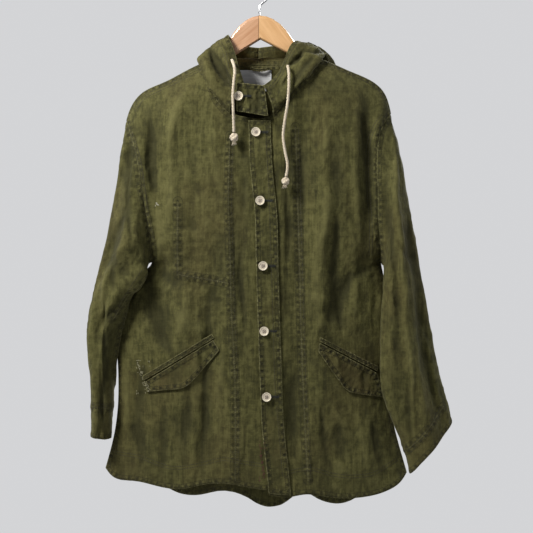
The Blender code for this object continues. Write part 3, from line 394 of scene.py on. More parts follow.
def makeCordMaterial():
    material, build, shader = newMaterial("cord")
    place = build.add("ShaderNodeTexCoord").outputs["Object"]
    fibre = build.noise(place, 900.0, 3, 0.6, (1, 1, 0.35))
    dirt = build.noise(place, 60.0, 3, 0.6)
    colour = build.mix(build.span(fibre, 0.35, 0.68), (0.40, 0.32, 0.22), (0.78, 0.69, 0.54))
    colour = build.mix(build.span(dirt, 0.5, 0.75, 0.0, 0.5), colour, (0.50, 0.38, 0.24))
    build.link(colour, shader.inputs["Base Color"])
    shader.inputs["Roughness"].default_value = 0.92
    shader.inputs["Sheen Weight"].default_value = 0.25
    build.bump(shader, fibre, 0.5, 0.0004)
    return material


def makeCords():
    material = makeCordMaterial()
    settings = cordSettings
    for side, rows in cordRoutes.items():
        points = smoothPath(rows, settings["step"])

        def twisted(index, angle):
            turn = index * settings["step"] / settings["turn"] * 2 * math.pi
            return settings["radius"] * (1 - settings["lobe"] * abs(math.sin(1.5 * (angle - turn))) ** 1.6)

        bm = bmesh.new()
        sweepTube(bm, points, twisted)
        cord = newObject("twistedCord_" + side, bm, material)
        knot = makeKnot(side, points, material)
        carry(cord, "cord", "cord_" + side)
        carry(knot, "cord", "knot_" + side)


frayCount = {"right": 22, "left": 18}


def makeKnot(side, points, material):
    # An overhand knot as a grooved ball, and the frayed end of the cord below it.
    radius = knotRadius[side]
    end = Vector(points[-1])
    along, across, other = frameAlong(points, len(points) - 1)
    middle = end + along * radius * 1.05
    bm = bmesh.new()
    bmesh.ops.create_uvsphere(bm, u_segments=36, v_segments=22, radius=1.0)
    for vertex in bm.verts:
        spot = vertex.co.copy()
        angle = math.atan2(spot.y, spot.x)
        groove = abs(math.sin(1.5 * angle + 2.4 * spot.z)) ** 0.7
        size = radius * (0.78 + 0.20 * groove)
        reach = across * spot.x + other * spot.y * 0.85
        vertex.co = (middle + (reach + along * spot.z * 1.02) * size) * mm
    for fray in range(frayCount[side]):
        angle = fray * 2.4
        outwards = across * math.cos(angle) + other * math.sin(angle)
        lean = 0.34 + 0.4 * noise.noise(Vector((fray * 1.7, knotRadius[side], 0)))
        way = (along + outwards * lean).normalized()
        start = middle + along * radius * 0.72 + outwards * 1.6
        size = radius * (0.85 + 0.25 * math.sin(fray * 5.1))
        turn = way.to_track_quat("Z", "Y").to_matrix().to_4x4()
        bmesh.ops.create_cone(bm, cap_ends=True, segments=5, radius1=0.55 * mm, radius2=0.2 * mm,
                              depth=size * mm,
                              matrix=Matrix.Translation((start + way * size * 0.5) * mm) @ turn)
    return newObject("knotAndFray_" + side, bm, material)


makeCords()


# Cloth pieces on the CAD walls.
shellSettings = {"wall": 1.6, "rim": 2.0, "crumple": 1.9, "creaseDepth": 2.2, "pucker": 0.75,
                 "puckerReach": 14.0, "ribLength": 13.0, "fell": 0.6, "fellWidth": 8.0}


def outerSheet(node, probe, inside):
    # The outer side of a CAD wall: the merged copy loses its rim, and then the half that looks inwards.
    bm = bmesh.new()
    bm.from_mesh(nodes[node].data)
    bmesh.ops.remove_doubles(bm, verts=bm.verts, dist=0.02 * mm)
    bmesh.ops.join_triangles(bm, faces=bm.faces, angle_face_threshold=math.radians(70),
                             angle_shape_threshold=math.radians(179))
    rim = [face for face in bm.faces
           if min(edge.calc_length() for edge in face.edges) < shellSettings["rim"] * mm]
    bmesh.ops.delete(bm, geom=rim, context="FACES")
    halves = []
    left = set(bm.faces)
    while left:
        stack = [left.pop()]
        part = set(stack)
        while stack:
            for edge in stack.pop().edges:
                for face in edge.link_faces:
                    if face in left:
                        left.remove(face)
                        part.add(face)
                        stack.append(face)
        halves.append(part)
    halves = sorted(halves, key=len)[-2:]
    spot = Vector(probe) * mm
    away = spot - Vector(inside) * mm
    keep = None
    for part in halves:
        nearest = min(part, key=lambda face: (face.calc_center_median() - spot).length)
        if nearest.normal.dot(away) > 0:
            keep = part
    bmesh.ops.delete(bm, geom=[face for face in bm.faces if face not in keep], context="FACES")
    return bm


def refined(bm, levels):
    piece = newObject("draft", bm)
    modifier = piece.modifiers.new("smooth", "SUBSURF")
    modifier.levels = modifier.render_levels = levels
    modifier.boundary_smooth = "PRESERVE_CORNERS"
    found = piece.evaluated_get(bpy.context.evaluated_depsgraph_get())
    mesh = bpy.data.meshes.new_from_object(found)
    bpy.data.objects.remove(piece)
    return mesh


def edgeDistance(mesh, places, seamRows):
    # How far each point lies from the nearest cut edge or seam of its piece, and where along it.
    bm = bmesh.new()
    bm.from_mesh(mesh)
    waiting = {edge for edge in bm.edges if edge.is_boundary}
    samples = []
    while waiting:
        edge = next(iter(sorted(waiting, key=lambda item: item.index)))
        vertex = edge.verts[0]
        travelled = 0.0
        while edge is not None:
            waiting.discard(edge)
            other = edge.other_vert(vertex)
            length = edge.calc_length() / mm
            samples += [(vertex.co.lerp(other.co, share) / mm, travelled + length * share)
                        for share in (0.0, 0.25, 0.5, 0.75)]
            travelled += length
            vertex = other
            edge = next((item for item in vertex.link_edges if item in waiting), None)
    surface = BVHTree.FromBMesh(bm)
    for side, way in seamRows:
        for index, (x, z) in enumerate(smoothPath(way, 1.5)):
            hit = surface.ray_cast(Vector((x, side * 500, z)) * mm, Vector((0, -side, 0)))
            if hit[0] is not None:
                samples.append((hit[0] / mm, index * 1.5))
    bm.free()
    tree = KDTree(len(samples))
    for index, sample in enumerate(samples):
        tree.insert(sample[0], index)
    tree.balance()
    found = [tree.find(place) for place in places]
    return np.array([hit[2] for hit in found]), np.array([samples[hit[1]][1] for hit in found])


def easing(value, low, high):
    share = np.clip((value - low) / (high - low), 0, 1)
    return share * share * (3 - 2 * share)


def creasePush(x, z, rows):
    # Soft troughs and ridges: start x, z, end x, z, width, depth and the bow of each.
    push = np.zeros(len(x))
    for number, (x0, z0, x1, z1, width, depth, bow) in enumerate(rows):
        length = math.hypot(x1 - x0, z1 - z0)
        alongX, alongZ = (x1 - x0) / length, (z1 - z0) / length
        along = ((x - x0) * alongX + (z - z0) * alongZ) / length
        inner = np.clip(along, 0, 1)
        across = (x - x0) * alongZ - (z - z0) * alongX - bow * 4 * inner * (1 - inner)
        across = across + 2.2 * np.sin(inner * length / 23 + number)
        spread = width * (0.75 + 0.5 * np.sin(inner * math.pi) ** 2)
        fade = easing(along, -0.12, 0.22) * easing(-along, -1.12, -0.78)
        uneven = 0.78 + 0.22 * np.sin(inner * length / 31 + 2.0 * number)
        soft = np.exp(-(across / spread) ** 2)
        push += depth * fade * uneven * soft
    return push


def stepPush(x, z, rows):
    # A seam with its left side higher, seen along its way: start x, z, end x, z, height, band's width.
    push = np.zeros(len(x))
    for x0, z0, x1, z1, height, band in rows:
        length = math.hypot(x1 - x0, z1 - z0)
        alongX, alongZ = (x1 - x0) / length, (z1 - z0) / length
        along = ((x - x0) * alongX + (z - z0) * alongZ) / length
        across = (x - x0) * alongZ - (z - z0) * alongX
        ends = easing(along, -0.01, 0.01) * easing(-along, -1.01, -0.99)
        push += height * ends * easing(across, -2.0, 2.0) * easing(-across, -band - 2.0, -band + 2.0)
        push -= 0.5 * ends * np.exp(-(across / 2.4) ** 2)
    return push


def makeShell(name, node, settings, material):
    bm = outerSheet(node, settings["probe"], settings["inside"])
    mesh = refined(bm, settings.get("levels", 3))
    count = len(mesh.vertices)
    places, normals = np.empty((count, 3)), np.empty((count, 3))
    mesh.vertices.foreach_get("co", places.ravel())
    mesh.vertices.foreach_get("normal", normals.ravel())
    places /= mm
    x, z = places[:, 0], places[:, 2]
    edge, along = edgeDistance(mesh, [Vector(place) for place in places], settings.get("seams", ()))
    isFront = easing(-normals[:, 1], -0.25, 0.35)
    push = creasePush(x, z, settings.get("creases", ())) * isFront
    push += creasePush(x, z, settings.get("backCreases", ())) * (1 - isFront)
    push *= shellSettings["creaseDepth"]
    push += creasePush(x, z, settings.get("swells", ()))
    steps = stepPush(x, z, settings.get("steps", ())) * isFront
    seed = settings.get("seed", 0.0)
    crumple = np.empty(count)
    pucker = np.empty(count)
    for index, (a, b, c) in enumerate(places):
        spot = Vector((a * 0.021 + seed, b * 0.021, c * 0.013))
        crumple[index] = (0.9 * noise.noise(spot) - 1.1 * abs(noise.noise(spot * 2.1))
                          - 0.7 * abs(noise.noise(spot * 4.3)))
        pucker[index] = noise.noise(Vector((a * 0.085, b * 0.05 + seed, c * 0.085)))
    crumple *= shellSettings["crumple"] * settings.get("crumple", 1.0)
    pucker += 0.9 * np.sin(along * 2 * math.pi / shellSettings["ribLength"] + 3 * pucker)
    pucker *= (shellSettings["pucker"] * settings.get("pucker", 1.0)
               * np.exp(-edge / shellSettings["puckerReach"]))
    band = shellSettings["fellWidth"]
    fell = shellSettings["fell"] * settings.get("fell", 1.0) * easing(-edge, -band - 2, -band + 1)
    rise = push + steps + crumple * easing(edge, 0.0, 8.0) + pucker * easing(edge, 0.0, 3.0) + fell
    for x0, z0, x1, z1 in settings.get("under", ()):  # stays low where another piece lies on it
        inside = easing(x, x0 - 6, x0) * easing(-x, -x1 - 6, -x1) * isFront
        inside *= easing(z, z0 - 6, z0) * easing(-z, -z1 - 6, -z1)
        rise = rise * (1 - inside) + np.minimum(rise * 0.4, 0.0) * inside
    if settings.get("onHanger"):  # the wood inside the shoulders holds the cloth out
        held = easing(z, -262, -236)
        rise = rise * (1 - held) + np.maximum(rise, 0.2) * held
    moved = (places + normals * rise[:, None]) * mm
    mesh.vertices.foreach_set("co", moved.ravel())
    # The push attribute carries the folds' height to the linen, which paints highlight on ridges and shade in
    # troughs from it.
    for label, values in (("edge", edge), ("along", along), ("push", push + crumple * 1.1 + pucker)):
        mesh.attributes.new(label, "FLOAT", "POINT").data.foreach_set("value", values)
    mesh.materials.clear()
    mesh.materials.append(material)
    mesh.shade_smooth()
    mesh.name = name
    piece = bpy.data.objects.new(name, mesh)
    scene.collection.objects.link(piece)
    tree = BVHTree.FromPolygons([vertex.co / mm for vertex in mesh.vertices],
                                [tuple(face.vertices) for face in mesh.polygons])
    wall = piece.modifiers.new("wall", "SOLIDIFY")
    wall.thickness = settings.get("wall", shellSettings["wall"]) * mm
    wall.offset = -1
    carry(piece, "linen", node)
    return piece, tree


frontRight = {
    "probe": (-120, -50, -500), "inside": (-120, 0, -500), "seed": 1.3, "onHanger": True,
    "flat": (0.36, 0.78, 0.21),
    "creases": ((-196, -250, -176, -420, 7, -2.6, 6), (-180, -330, -190, -560, 9, 2.4, -8),
                (-150, -250, -158, -460, 8, 2.0, 4), (-118, -190, -165, -300, 8, 1.8, 6),
                (-84, -560, -98, -900, 7, -2.4, 5), (-106, -600, -120, -890, 9, 1.8, -6),
                (-62, -640, -70, -880, 6, 1.5, 3), (-210, -700, -214, -880, 9, -2.2, 5),
                (-236, -640, -240, -860, 8, 1.6, 4), (-170, -770, -178, -895, 7, -1.6, -4),
                (-190, -505, -120, -560, 10, -1.6, 9), (-186, -480, -110, -470, 9, 1.2, -8),
                (-130, -360, -60, -400, 9, -1.1, 6), (-140, -450, -60, -470, 8, -1.0, -5),
                (-80, -260, -64, -400, 7, 1.4, 3), (-30, -480, -24, -640, 5, -1.3, 2),
                (-28, -690, -30, -880, 6, 1.2, -3), (-206, -506, -150, -690, 12, -2.2, 12),
                (-130, -520, -146, -660, 10, 1.6, -7), (-118, -745, -132, -850, 10, -1.5, 6),
                (-66, -470, -72, -600, 12, -1.6, 6), (-96, -330, -104, -480, 14, 1.5, -8),
                (-160, -590, -90, -640, 10, 1.2, 8), (-232, -800, -190, -860, 9, -1.3, 6),
                (-20, -300, -24, -420, 7, -1.4, 3)),
    "under": ((-216, -746, -84, -664), (-20, -960, 60, -200), (-60, -256, 10, -190)),
    "seams": ((-1, ((-50, -285), (-53, -383), (-50, -500), (-48, -592), (-42, -714), (-41, -905))),
              (-1, ((-147, -535), (-110, -540), (-54, -550))),
              (-1, ((-144, -403), (-145, -470), (-145, -528)))),
    "steps": ((-47, -280, -52, -430, 0.8, 60), (-52, -430, -48, -600, 0.8, 60),
              (-48, -600, -41, -925, 0.8, 60)),
}
frontLeft = {
    "probe": (120, -50, -500), "inside": (120, 0, -500), "seed": 5.7, "onHanger": True,
    "flat": (0.33, 0.80, 0.19),
    "creases": ((141, -430, 150, -640, 7, -2.6, 5), (120, -250, 116, -520, 9, 2.2, -5),
                (84, -270, 74, -560, 8, -1.5, 4), (196, -210, 206, -420, 7, -3.0, 4),
                (178, -200, 184, -480, 8, 2.0, 5), (166, -430, 176, -620, 7, 1.6, -4),
                (136, -776, 164, -815, 5, 2.0, 3), (112, -774, 138, -895, 6, -2.0, 5),
                (128, -870, 174, -904, 5, 1.8, -4), (98, -790, 92, -900, 6, 1.3, 3),
                (210, -800, 232, -905, 7, -1.8, 3), (186, -780, 200, -900, 7, 1.6, 4),
                (60, -660, 110, -700, 8, -1.2, 5), (60, -560, 130, -580, 9, 1.1, 6),
                (205, -520, 150, -570, 8, -1.4, 6), (40, -420, 90, -460, 8, -1.0, 5),
                (226, -560, 220, -700, 7, 1.4, 3), (46, -800, 50, -920, 6, 1.1, -3),
                (196, -500, 130, -640, 12, -1.9, 12), (100, -440, 108, -640, 12, 1.6, -7),
                (58, -300, 56, -500, 7, -1.6, 3), (150, -260, 140, -400, 13, -1.4, 7),
                (70, -700, 66, -860, 9, -1.8, 5), (150, -800, 156, -880, 9, -1.6, 4),
                (186, -600, 210, -660, 9, 1.3, -6), (80, -590, 170, -650, 10, 1.0, 8)),
    "under": ((92, -766, 216, -664), (-30, -960, 46, -200)),
    "seams": ((-1, ((67, -270), (70, -360), (74, -500), (78, -653), (82, -760), (90, -905))),),
    "steps": ((67, -262, 78, -653, -0.8, 400), (78, -653, 90, -932, -0.8, 400)),
}
backPanel = {
    "probe": (0, 36, -500), "inside": (0, 0, -500), "seed": 9.1, "onHanger": True, "flat": (0.56, 0.83, 0.39),
    "backCreases": ((-150, -260, -140, -700, 10, 2.4, 6), (-90, -500, -86, -930, 8, -2.6, 4),
                    (-30, -420, 8, -950, 11, 2.6, 8), (76, -560, 88, -930, 8, -2.8, 5),
                    (150, -300, 144, -900, 10, 2.2, -6), (200, -250, 196, -560, 8, -2.4, 4),
                    (-200, -280, -190, -560, 7, -2.2, -4), (-60, -250, -120, -420, 10, 1.6, 7),
                    (60, -250, 110, -430, 10, 1.7, -7), (-230, -640, -214, -890, 8, 1.6, 4),
                    (230, -560, 214, -880, 8, -1.8, 5), (30, -620, 50, -950, 7, -1.8, 4),
                    (-140, -560, -60, -600, 9, -1.3, 7), (50, -480, 140, -500, 9, -1.3, -7)),
}
sleeveRight = {
    "probe": (-290, -30, -600), "inside": (-276, -8, -600), "seed": 13.7, "onHanger": True,
    "flat": (0.30, 0.56, 0.108),
    "seams": ((-1, ((-204, -531), (-226, -560), (-246, -592), (-262, -617))),
              (-1, ((-303, -771), (-266, -776)))),
    "swells": ((-204, -520, -232, -566, 10, 9.0, 0), (-262, -700, -266, -790, 7, 3.5, 0)),
    "creases": ((-236, -300, -226, -470, 6, -2.8, 5), (-244, -420, -262, -560, 7, -2.4, 5),
                (-212, -340, -208, -470, 6, 1.8, 3), (-268, -520, -284, -700, 6, 2.2, 4),
                (-274, -610, -276, -820, 5, -2.6, 2), (-262, -500, -222, -540, 7, -1.6, 5),
                (-250, -350, -216, -380, 6, -1.2, 4), (-256, -590, -290, -640, 6, -1.4, 4),
                (-288, -700, -290, -820, 5, 1.4, -2), (-220, -420, -206, -500, 6, 1.4, 3)),
    "backCreases": ((-236, -320, -240, -520, 8, -2.2, 6), (-262, -450, -280, -700, 8, 2.0, 5),
                    (-290, -600, -284, -800, 7, -2.0, 4)),
}
sleeveLeft = {
    "probe": (290, -50, -600), "inside": (275, -30, -600), "seed": 17.9, "onHanger": True,
    "flat": (0.32, 0.60, 0.14),
    "seams": ((-1, ((334, -772), (310, -800), (285, -830), (262, -850))),),
    "creases": ((246, -290, 262, -560, 5, 2.4, 3), (262, -540, 280, -790, 5, 2.4, 3),
                (232, -330, 240, -520, 6, -1.8, 4), (272, -420, 300, -640, 7, -2.2, 5),
                (290, -620, 322, -770, 6, -1.8, 4), (284, -680, 300, -800, 5, 1.6, 3),
                (302, -650, 332, -770, 5, 1.6, 3), (268, -700, 276, -830, 5, -1.6, 3),
                (238, -560, 262, -600, 6, -1.5, 4), (236, -640, 270, -680, 6, -1.3, 4),
                (250, -480, 290, -500, 6, -1.2, 5), (300, -560, 318, -660, 6, 1.5, 3)),
    "backCreases": ((246, -320, 262, -560, 8, -2.2, 6), (280, -480, 300, -740, 8, 2.2, 5),
                    (270, -640, 290, -820, 6, -2.0, 4)),
}
hoodRight = {
    "probe": (-88, -24, -140), "inside": (-40, 20, -130), "seed": 21.1, "flat": (0.34, 0.30, 0.062),
    "crumple": 1.1,
    "creases": ((-89, -121, -49, -192, 5.5, -4.2, 5), (-104, -136, -66, -196, 6, 1.6, 5),
                (-70, -112, -42, -176, 6, 1.4, 5), (-62, -150, -40, -200, 4, -1.2, 3)),
    "backCreases": ((-90, -160, -80, -300, 9, 2.0, 5), (-40, -170, -36, -320, 8, -2.2, 5)),
}
hoodLeft = {
    "probe": (96, -24, -136), "inside": (40, 20, -130), "seed": 25.3, "flat": (0.36, 0.30, 0.068),
    "crumple": 1.1,
    "creases": ((56, -158, 84, -130, 4, -3.0, 3), (84, -130, 122, -127, 4, -2.6, 2),
                (62, -140, 110, -118, 4, 1.8, 3),
                (92, -136, 40, -196, 6, 1.5, 4), (104, -142, 56, -200, 6, -2.0, 4)),
    "backCreases": ((90, -160, 80, -300, 9, 2.0, -5), (40, -170, 36, -320, 8, -2.2, 5)),
}

shells = {}
for name, node, settings in (("frontRight", "front_right", frontRight),
                             ("frontLeft", "front_left", frontLeft),
                             ("back", "back", backPanel), ("sleeveRight", "sleeve_right", sleeveRight),
                             ("sleeveLeft", "sleeve_left", sleeveLeft),
                             ("hoodRight", "hood_right", hoodRight), ("hoodLeft", "hood_left", hoodLeft)):
    shells[name] = makeShell(name + "Cloth", node, settings, linen)
print("the panels, sleeves and hood are made")


# The trim that lies on the panels.
placket = {"probe": (10, -54, -500), "inside": (10, 0, -500), "seed": 31.0, "flat": (0.042, 0.68, 0.027),
           "crumple": 1.1, "pucker": 1.5, "fell": 0.5, "wall": 1.5}
weltRight = {"probe": (-145, -50, -680), "inside": (-145, 0, -680), "seed": 33.0,
             "flat": (0.15, 0.012, 0.0014), "crumple": 0.3, "pucker": 0.5, "fell": 0.0, "wall": 1.5}
weltLeft = {"probe": (165, -50, -675), "inside": (165, 0, -675), "seed": 35.0, "flat": (0.125, 0.012, 0.0012),
            "crumple": 0.3, "pucker": 0.5, "fell": 0.0, "wall": 1.5}
flapRight = {"probe": (-130, -52, -705), "inside": (-130, 0, -705), "seed": 37.0,
             "flat": (0.16, 0.06, 0.0048), "crumple": 0.7, "pucker": 1.1, "wall": 1.5,
             "creases": ((-110, -672, -112, -722, 5, 1.4, 2), (-150, -700, -150, -738, 6, -1.2, 2))}
flapLeft = {"probe": (155, -52, -700), "inside": (155, 0, -700), "seed": 39.0, "flat": (0.14, 0.07, 0.0052),
            "crumple": 0.7, "pucker": 1.1, "wall": 1.5,
            "creases": ((140, -675, 150, -735, 5, 1.3, 2), (190, -706, 196, -752, 5, -1.2, 2))}
tab = {"probe": (-10, -62, -222), "inside": (-10, 0, -222), "seed": 41.0, "flat": (0.057, 0.055, 0.0029),
       "crumple": 1.3, "pucker": 1.2, "wall": 1.5, "levels": 4,
       "creases": ((-20, -206, -18, -244, 4, 1.2, 2), (-2, -204, 2, -248, 4, -1.2, 2))}
loop = {"probe": (3, 8, -158), "inside": (3, 30, -158), "seed": 43.0, "flat": (0.04, 0.011, 0.0003),
        "crumple": 0.2, "pucker": 0.2, "fell": 0.0, "wall": 1.0}

shells["placket"] = makeShell("placketCloth", "placket", placket, linenBand)
for name, node, settings in (("weltRight", "pocket_welt_right", weltRight),
                             ("weltLeft", "pocket_welt_left", weltLeft),
                             ("flapRight", "pocket_flap_right", flapRight),
                             ("flapLeft", "pocket_flap_left", flapLeft),
                             ("throatTab", "throat_tab", tab), ("hangingLoop", "hanging_loop", loop)):
    shells[name] = makeShell(name + "Cloth", node, settings, linenTrim)
print("the trim is made")


# Sewing.
stitchSettings = {"gap": 4.4, "length": 3.1, "width": 0.85, "height": 0.55, "rowGap": 5.0}
# Each row is the shells it is sewn through, the side it is seen from, its number of rows, and its way.
stitchRows = (
    (("frontRight",), -1, 2, ((-106, -160), (-160, -187), (-214, -215), (-228, -234))),
    (("frontLeft",), -1, 2, ((114, -149), (167, -171), (192, -181), (217, -196), (230, -212))),
    (("sleeveRight", "frontRight"), -1, 2, ((-240, -262), (-229, -290), (-216, -335), (-210, -378),
                                            (-206, -409), (-194, -474))),
    (("sleeveLeft", "frontLeft"), -1, 2, ((206, -500), (206, -437), (202, -376), (200, -331), (204, -292),
                                          (214, -266), (228, -246))),
    (("placket",), -1, 1, ((14, -290), (20, -408), (24, -531), (27, -622), (31, -745), (36, -806),
                           (44, -898))),
    (("frontLeft",), -1, 2, ((67, -270), (70, -360), (74, -500), (78, -653), (82, -760), (90, -905))),
    (("frontRight",), -1, 2, ((-50, -290), (-53, -383), (-50, -500), (-48, -592), (-42, -714), (-41, -905))),
    (("frontRight",), -1, 2, ((-262, -862), (-215, -869), (-157, -886), (-101, -879), (-60, -869),
                              (-25, -875), (8, -880))),
    (("frontLeft",), -1, 2, ((50, -894), (94, -887), (137, -899), (163, -902), (200, -900), (256, -874))),
    (("frontRight",), -1, 1, ((-147, -534), (-110, -540), (-56, -549))),
    (("frontRight",), -1, 1, ((-144, -405), (-145, -470), (-146, -532))),
    (("sleeveRight",), -1, 2, ((-300, -771), (-285, -773), (-271, -776))),
    (("sleeveLeft",), -1, 2, ((330, -770), (310, -798), (285, -828), (268, -848))),
    (("sleeveRight",), -1, 1, ((-208, -527), (-226, -553), (-246, -585), (-258, -612))),
    (("hoodRight",), -1, 2, ((-45, -204), (-50, -176), (-55, -150), (-60, -128), (-68, -110))),
    (("hoodLeft",), -1, 2, ((22, -205), (38, -184), (50, -160), (62, -136), (74, -116))),
    (("back",), 1, 2, ((-250, -868), (-190, -872), (-116, -903), (-48, -896), (12, -926), (60, -912),
                       (138, -918), (200, -896), (252, -878))),
    (("back",), 1, 2, ((-106, -160), (-160, -187), (-214, -215), (-228, -234))),
    (("back",), 1, 2, ((114, -149), (167, -171), (192, -181), (217, -196), (230, -212))),
)


def onCloth(names, side, x, z):
    best = None
    for name in names:
        hit = shells[name][1].ray_cast(Vector((x, side * 500, z)), Vector((0, -side, 0)))
        if hit[0] is not None and (best is None or hit[0].y * side > best[0].y * side):
            best = hit
    return best


def sewStitch(bm, place, normal, along, length, width, height):
    along = (along - normal * along.dot(normal)).normalized()
    across = normal.cross(along)
    turn = Matrix((along, across, normal)).transposed().to_4x4()
    size = Matrix.Diagonal((length * mm, width * mm, height * mm, 1))
    bmesh.ops.create_cube(bm, size=1, matrix=Matrix.Translation((place + normal * 0.1) * mm) @ turn @ size)


def makeThreadMaterial(name, colour, other):
    material, build, shader = newMaterial(name)
    place = build.add("ShaderNodeTexCoord").outputs["Object"]
    build.link(build.mix(build.noise(place, 300.0), colour, other), shader.inputs["Base Color"])
    shader.inputs["Roughness"].default_value = 0.8
    return material


def makeStitches():
    settings = stitchSettings
    bm = bmesh.new()
    for names, side, rows, way in stitchRows:
        points = smoothPath(way, settings["gap"])
        for index in range(len(points) - 1):
            step = points[index + 1] - points[index]
            step = step / np.linalg.norm(step)
            for row in range(rows):
                away = np.array((-step[1], step[0])) * settings["rowGap"] * row
                x, z = (points[index] + points[index + 1]) / 2 + away
                hit = onCloth(names, side, x, z)
                if hit is None:
                    continue
                along = Vector((step[0], 0, step[1]))
                normal = hit[1] if hit[1].y * side > 0 else -hit[1]
                sewStitch(bm, hit[0], normal, along, settings["length"], settings["width"],
                          settings["height"])
    count = len(bm.faces) // 6
    material = makeThreadMaterial("thread", (0.022, 0.020, 0.009), (0.06, 0.052, 0.024))
    carry(newObject("sewingThread", bm, material, False), "linen")
    print(count, "stitches")


# Mends: a pale darn at the right pocket, a red-brown one low on the placket, and two pale specks.
mends = (("paleDarn", ("frontRight", "flapRight"), (-222, -752, -196, -690), 74, (0.20, 0.19, 0.11),
          (0.30, 0.28, 0.18)),
         ("brownDarn", ("placket", "frontRight", "frontLeft"), (2, -906, 12, -834), 46, (0.10, 0.030, 0.022),
          (0.06, 0.02, 0.014)),
         ("specks", ("placket", "frontRight"), (-186, -410, -180, -404), 5, (0.55, 0.53, 0.45),
          (0.4, 0.38, 0.3)))


def makeMends():
    for name, names, (x0, z0, x1, z1), count, colour, other in mends:
        bm = bmesh.new()
        for index in range(count):
            across = (index * 0.618) % 1.0
            down = (index * 0.382 + 0.5 * noise.noise(Vector((index * 1.3, 0, 3)))) % 1.0
            x, z = x0 + (x1 - x0) * across, z0 + (z1 - z0) * down
            hit = onCloth(names, -1, x, z)
            if hit is None:
                continue
            lean = 0.5 * noise.noise(Vector((index * 2.7, 5, 0)))
            along = Vector((1, 0, lean)) if index % 2 else Vector((lean, 0, 1))
            sewStitch(bm, hit[0], -hit[1] if hit[1].y > 0 else hit[1], along, 3.0, 0.7, 0.6)
        carry(newObject(name, bm, makeThreadMaterial(name, colour, other), False), "linen")


# Buttons and buttonholes.
buttonSettings = {"radius": 8.6, "holeOut": 2.1, "holeRadius": 0.85, "slitOut": 6.0, "slitHalf": 7.8}
forward = Vector((0, -1, 0))
buttonNodes = ("button_1", "button_2", "button_3", "button_4", "button_5", "button_collar")


def dress(node, material):
    nodes[node].data.materials.clear()
    nodes[node].data.materials.append(material)


def makeButtonMaterial(node, centre):
    # Cream rim and a greyer middle with dark rings, measured from the button's own centre.
    material, build, shader = newMaterial("finish_" + node)
    place = build.add("ShaderNodeTexCoord").outputs["Object"]
    shift = build.add("ShaderNodeMapping")
    shift.inputs["Location"].default_value = -centre
    build.link(place, shift.inputs["Vector"])
    reach = build.add("ShaderNodeVectorMath", operation="LENGTH")
    build.link(shift.outputs[0], reach.inputs[0])
    radius = build.math("DIVIDE", reach.outputs["Value"], buttonSettings["radius"] * mm)
    cloud = build.noise(place, 420.0, 3, 0.6)
    colour = build.mix(build.span(cloud, 0.35, 0.7), (0.66, 0.58, 0.42), (0.80, 0.74, 0.60))
    colour = build.mix(build.span(radius, 0.60, 0.42, 0.0, 0.55), colour, (0.44, 0.35, 0.33))
    for where, width, dark in ((0.64, 0.06, 0.6), (0.40, 0.07, 0.75), (1.0, 0.10, 0.8)):
        colour = build.mix(build.near(radius, where, 0.02, width, dark), colour, (0.22, 0.16, 0.12))
    build.link(colour, shader.inputs["Base Color"])
    shader.inputs["Roughness"].default_value = 0.32
    shader.inputs["Coat Weight"].default_value = 0.25
    return material


def makeButtons():
    settings = buttonSettings
    holeShades = bmesh.new()
    threads = bmesh.new()
    for node in buttonNodes:
        low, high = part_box(node)
        centre = (low + high) / 2
        face = Vector((centre.x, low.y + 0.85 * mm, centre.z))
        finish = makeButtonMaterial(node, centre)
        dress(node, finish)
        # Near-black discs at the four holes are painted shade inside them.
        for turn in range(4):
            angle = math.radians(45 + 90 * turn)
            spot = face + Vector((math.cos(angle), 0, math.sin(angle))) * settings["holeOut"] * mm
            bmesh.ops.create_cone(holeShades, cap_ends=True, segments=10, radius1=settings["holeRadius"] * mm,
                                  radius2=settings["holeRadius"] * mm, depth=0.3 * mm,
                                  matrix=Matrix.Translation(spot) @ Matrix.Rotation(math.radians(90), 4, "X"))
        for lean in (-1, 1):
            sewStitch(threads, face / mm, forward, Vector((lean, 0, 1)), 5.0, 0.9, 0.7)
    dark = makeThreadMaterial("buttonHoleShadeFinish", (0.02, 0.017, 0.013), (0.03, 0.025, 0.02))
    pale = makeThreadMaterial("buttonThread", (0.25, 0.22, 0.16), (0.36, 0.32, 0.24))
    for name, bm, material in (("buttonHoleShadeDiscs", holeShades, dark), ("buttonThreads", threads, pale)):
        carry(newObject(name, bm, material, False), "button")


def makeButtonholes():
    # A near-black sheet to the right of each button, painted shade standing for the slit's opening, with
    # close stitches all round it.
    slitShades = bmesh.new()
    threads = bmesh.new()
    for node in buttonNodes:
        low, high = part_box(node)
        x = high.x / mm + buttonSettings["slitOut"]
        z = (low.z + high.z) / 2 / mm
        names = ("throatTab",) if node == "button_collar" else ("placket",)
        for index in range(18):
            angle = 2 * math.pi * index / 18
            hit = onCloth(names, -1, x + buttonSettings["slitHalf"] * math.cos(angle),
                          z + 1.5 * math.sin(angle))
            if hit:
                sewStitch(threads, hit[0], forward, Vector((0.35 * math.cos(angle), 0, 1)), 3.4, 0.9, 0.8)
        hit = onCloth(names, -1, x, z)
        if hit:
            sewStitch(slitShades, hit[0] + forward * 0.45, forward, Vector((1, 0, -0.04)), 15.5, 2.0, 0.5)
    dark = makeThreadMaterial("slitShadeFinish", (0.004, 0.005, 0.004), (0.007, 0.008, 0.006))
    edge = makeThreadMaterial("slitThread", (0.012, 0.014, 0.009), (0.03, 0.032, 0.018))
    for name, bm, material in (("buttonholeSlitShade", slitShades, dark), ("buttonholeThreads", threads, edge)):
        carry(newObject(name, bm, material, False), "linen")


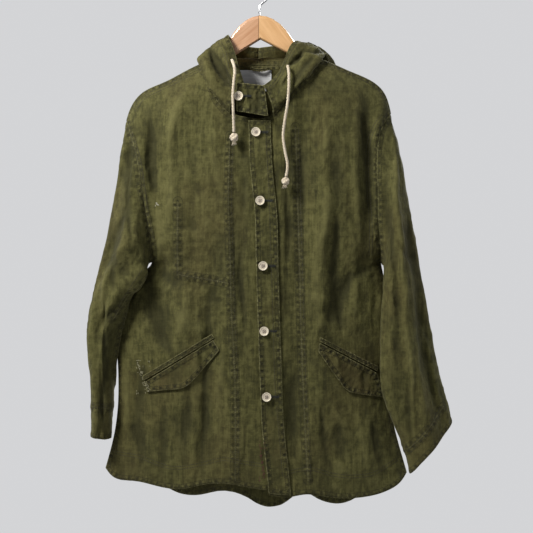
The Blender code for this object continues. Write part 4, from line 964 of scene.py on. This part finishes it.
# Hanger and label.
def makeWoodMaterial():
    # Two halves glued at the middle: slanting pinkish grain on the right, lighter and straighter on the left.
    material, build, shader = newMaterial("beech")
    place = build.add("ShaderNodeTexCoord").outputs["Object"]
    parts = build.add("ShaderNodeSeparateXYZ")
    build.link(place, parts.inputs[0])
    grains = []
    for turn in (38.0, -52.0):
        mapping = build.add("ShaderNodeMapping")
        mapping.inputs["Rotation"].default_value = (0, math.radians(turn), 0)
        build.link(place, mapping.inputs["Vector"])
        grains.append(build.noise(mapping.outputs[0], 210.0, 5, 0.62, (0.07, 1, 1)))
    half = build.math("GREATER_THAN", parts.outputs["X"], 0.0005)
    first = build.mix(build.span(grains[0], 0.38, 0.66), (0.48, 0.25, 0.13), (0.64, 0.38, 0.23))
    second = build.mix(build.span(grains[1], 0.34, 0.66), (0.60, 0.34, 0.15), (0.71, 0.43, 0.21))
    colour = build.mix(half, first, second)
    pores = build.noise(place, 900.0, 3, 0.7, (0.12, 1, 0.5))
    colour = build.mix(build.span(pores, 0.62, 0.74, 0.0, 0.25), colour, (0.26, 0.12, 0.05))
    joint = build.near(parts.outputs["X"], 0.0005, 0.0003, 0.0009, 0.85)
    colour = build.mix(joint, colour, (0.16, 0.075, 0.035))
    build.link(colour, shader.inputs["Base Color"])
    shader.inputs["Roughness"].default_value = 0.36
    shader.inputs["Coat Weight"].default_value = 0.3
    build.bump(shader, grains[0], 0.25, 0.0003)
    return material


def makeHookMaterial():
    material, build, shader = newMaterial("polishedWire")
    place = build.add("ShaderNodeTexCoord").outputs["Object"]
    scratch = build.noise(place, 700.0, 3, 0.6, (1, 1, 0.2))
    build.link(build.mix(scratch, (0.62, 0.62, 0.64), (0.80, 0.80, 0.82)), shader.inputs["Base Color"])
    build.link(build.span(scratch, 0.3, 0.7, 0.14, 0.30), shader.inputs["Roughness"])
    shader.inputs["Metallic"].default_value = 1.0
    return material


def makeLabelMaterial():
    # A bare white tape with a fine rib, a little yellowed.
    material, build, shader = newMaterial("labelTape")
    place = build.add("ShaderNodeTexCoord").outputs["Object"]
    rib = build.noise(place, 800.0, 2, 0.5, (0.05, 1, 1))
    stain = build.noise(place, 45.0, 3, 0.6)
    colour = build.mix(build.span(rib, 0.35, 0.65), (0.74, 0.74, 0.74), (0.86, 0.86, 0.86))
    colour = build.mix(build.span(stain, 0.5, 0.8, 0.0, 0.4), colour, (0.60, 0.56, 0.46))
    build.link(colour, shader.inputs["Base Color"])
    shader.inputs["Roughness"].default_value = 0.7
    build.bump(shader, rib, 0.4, 0.0003)
    return material


dress("hanger_wood", makeWoodMaterial())
dress("hanger_hook", makeHookMaterial())
dress("label", makeLabelMaterial())
makeButtons()
makeButtonholes()
makeStitches()
makeMends()
print("sewing, buttons and hanger are done")

bpy.context.view_layer.update()
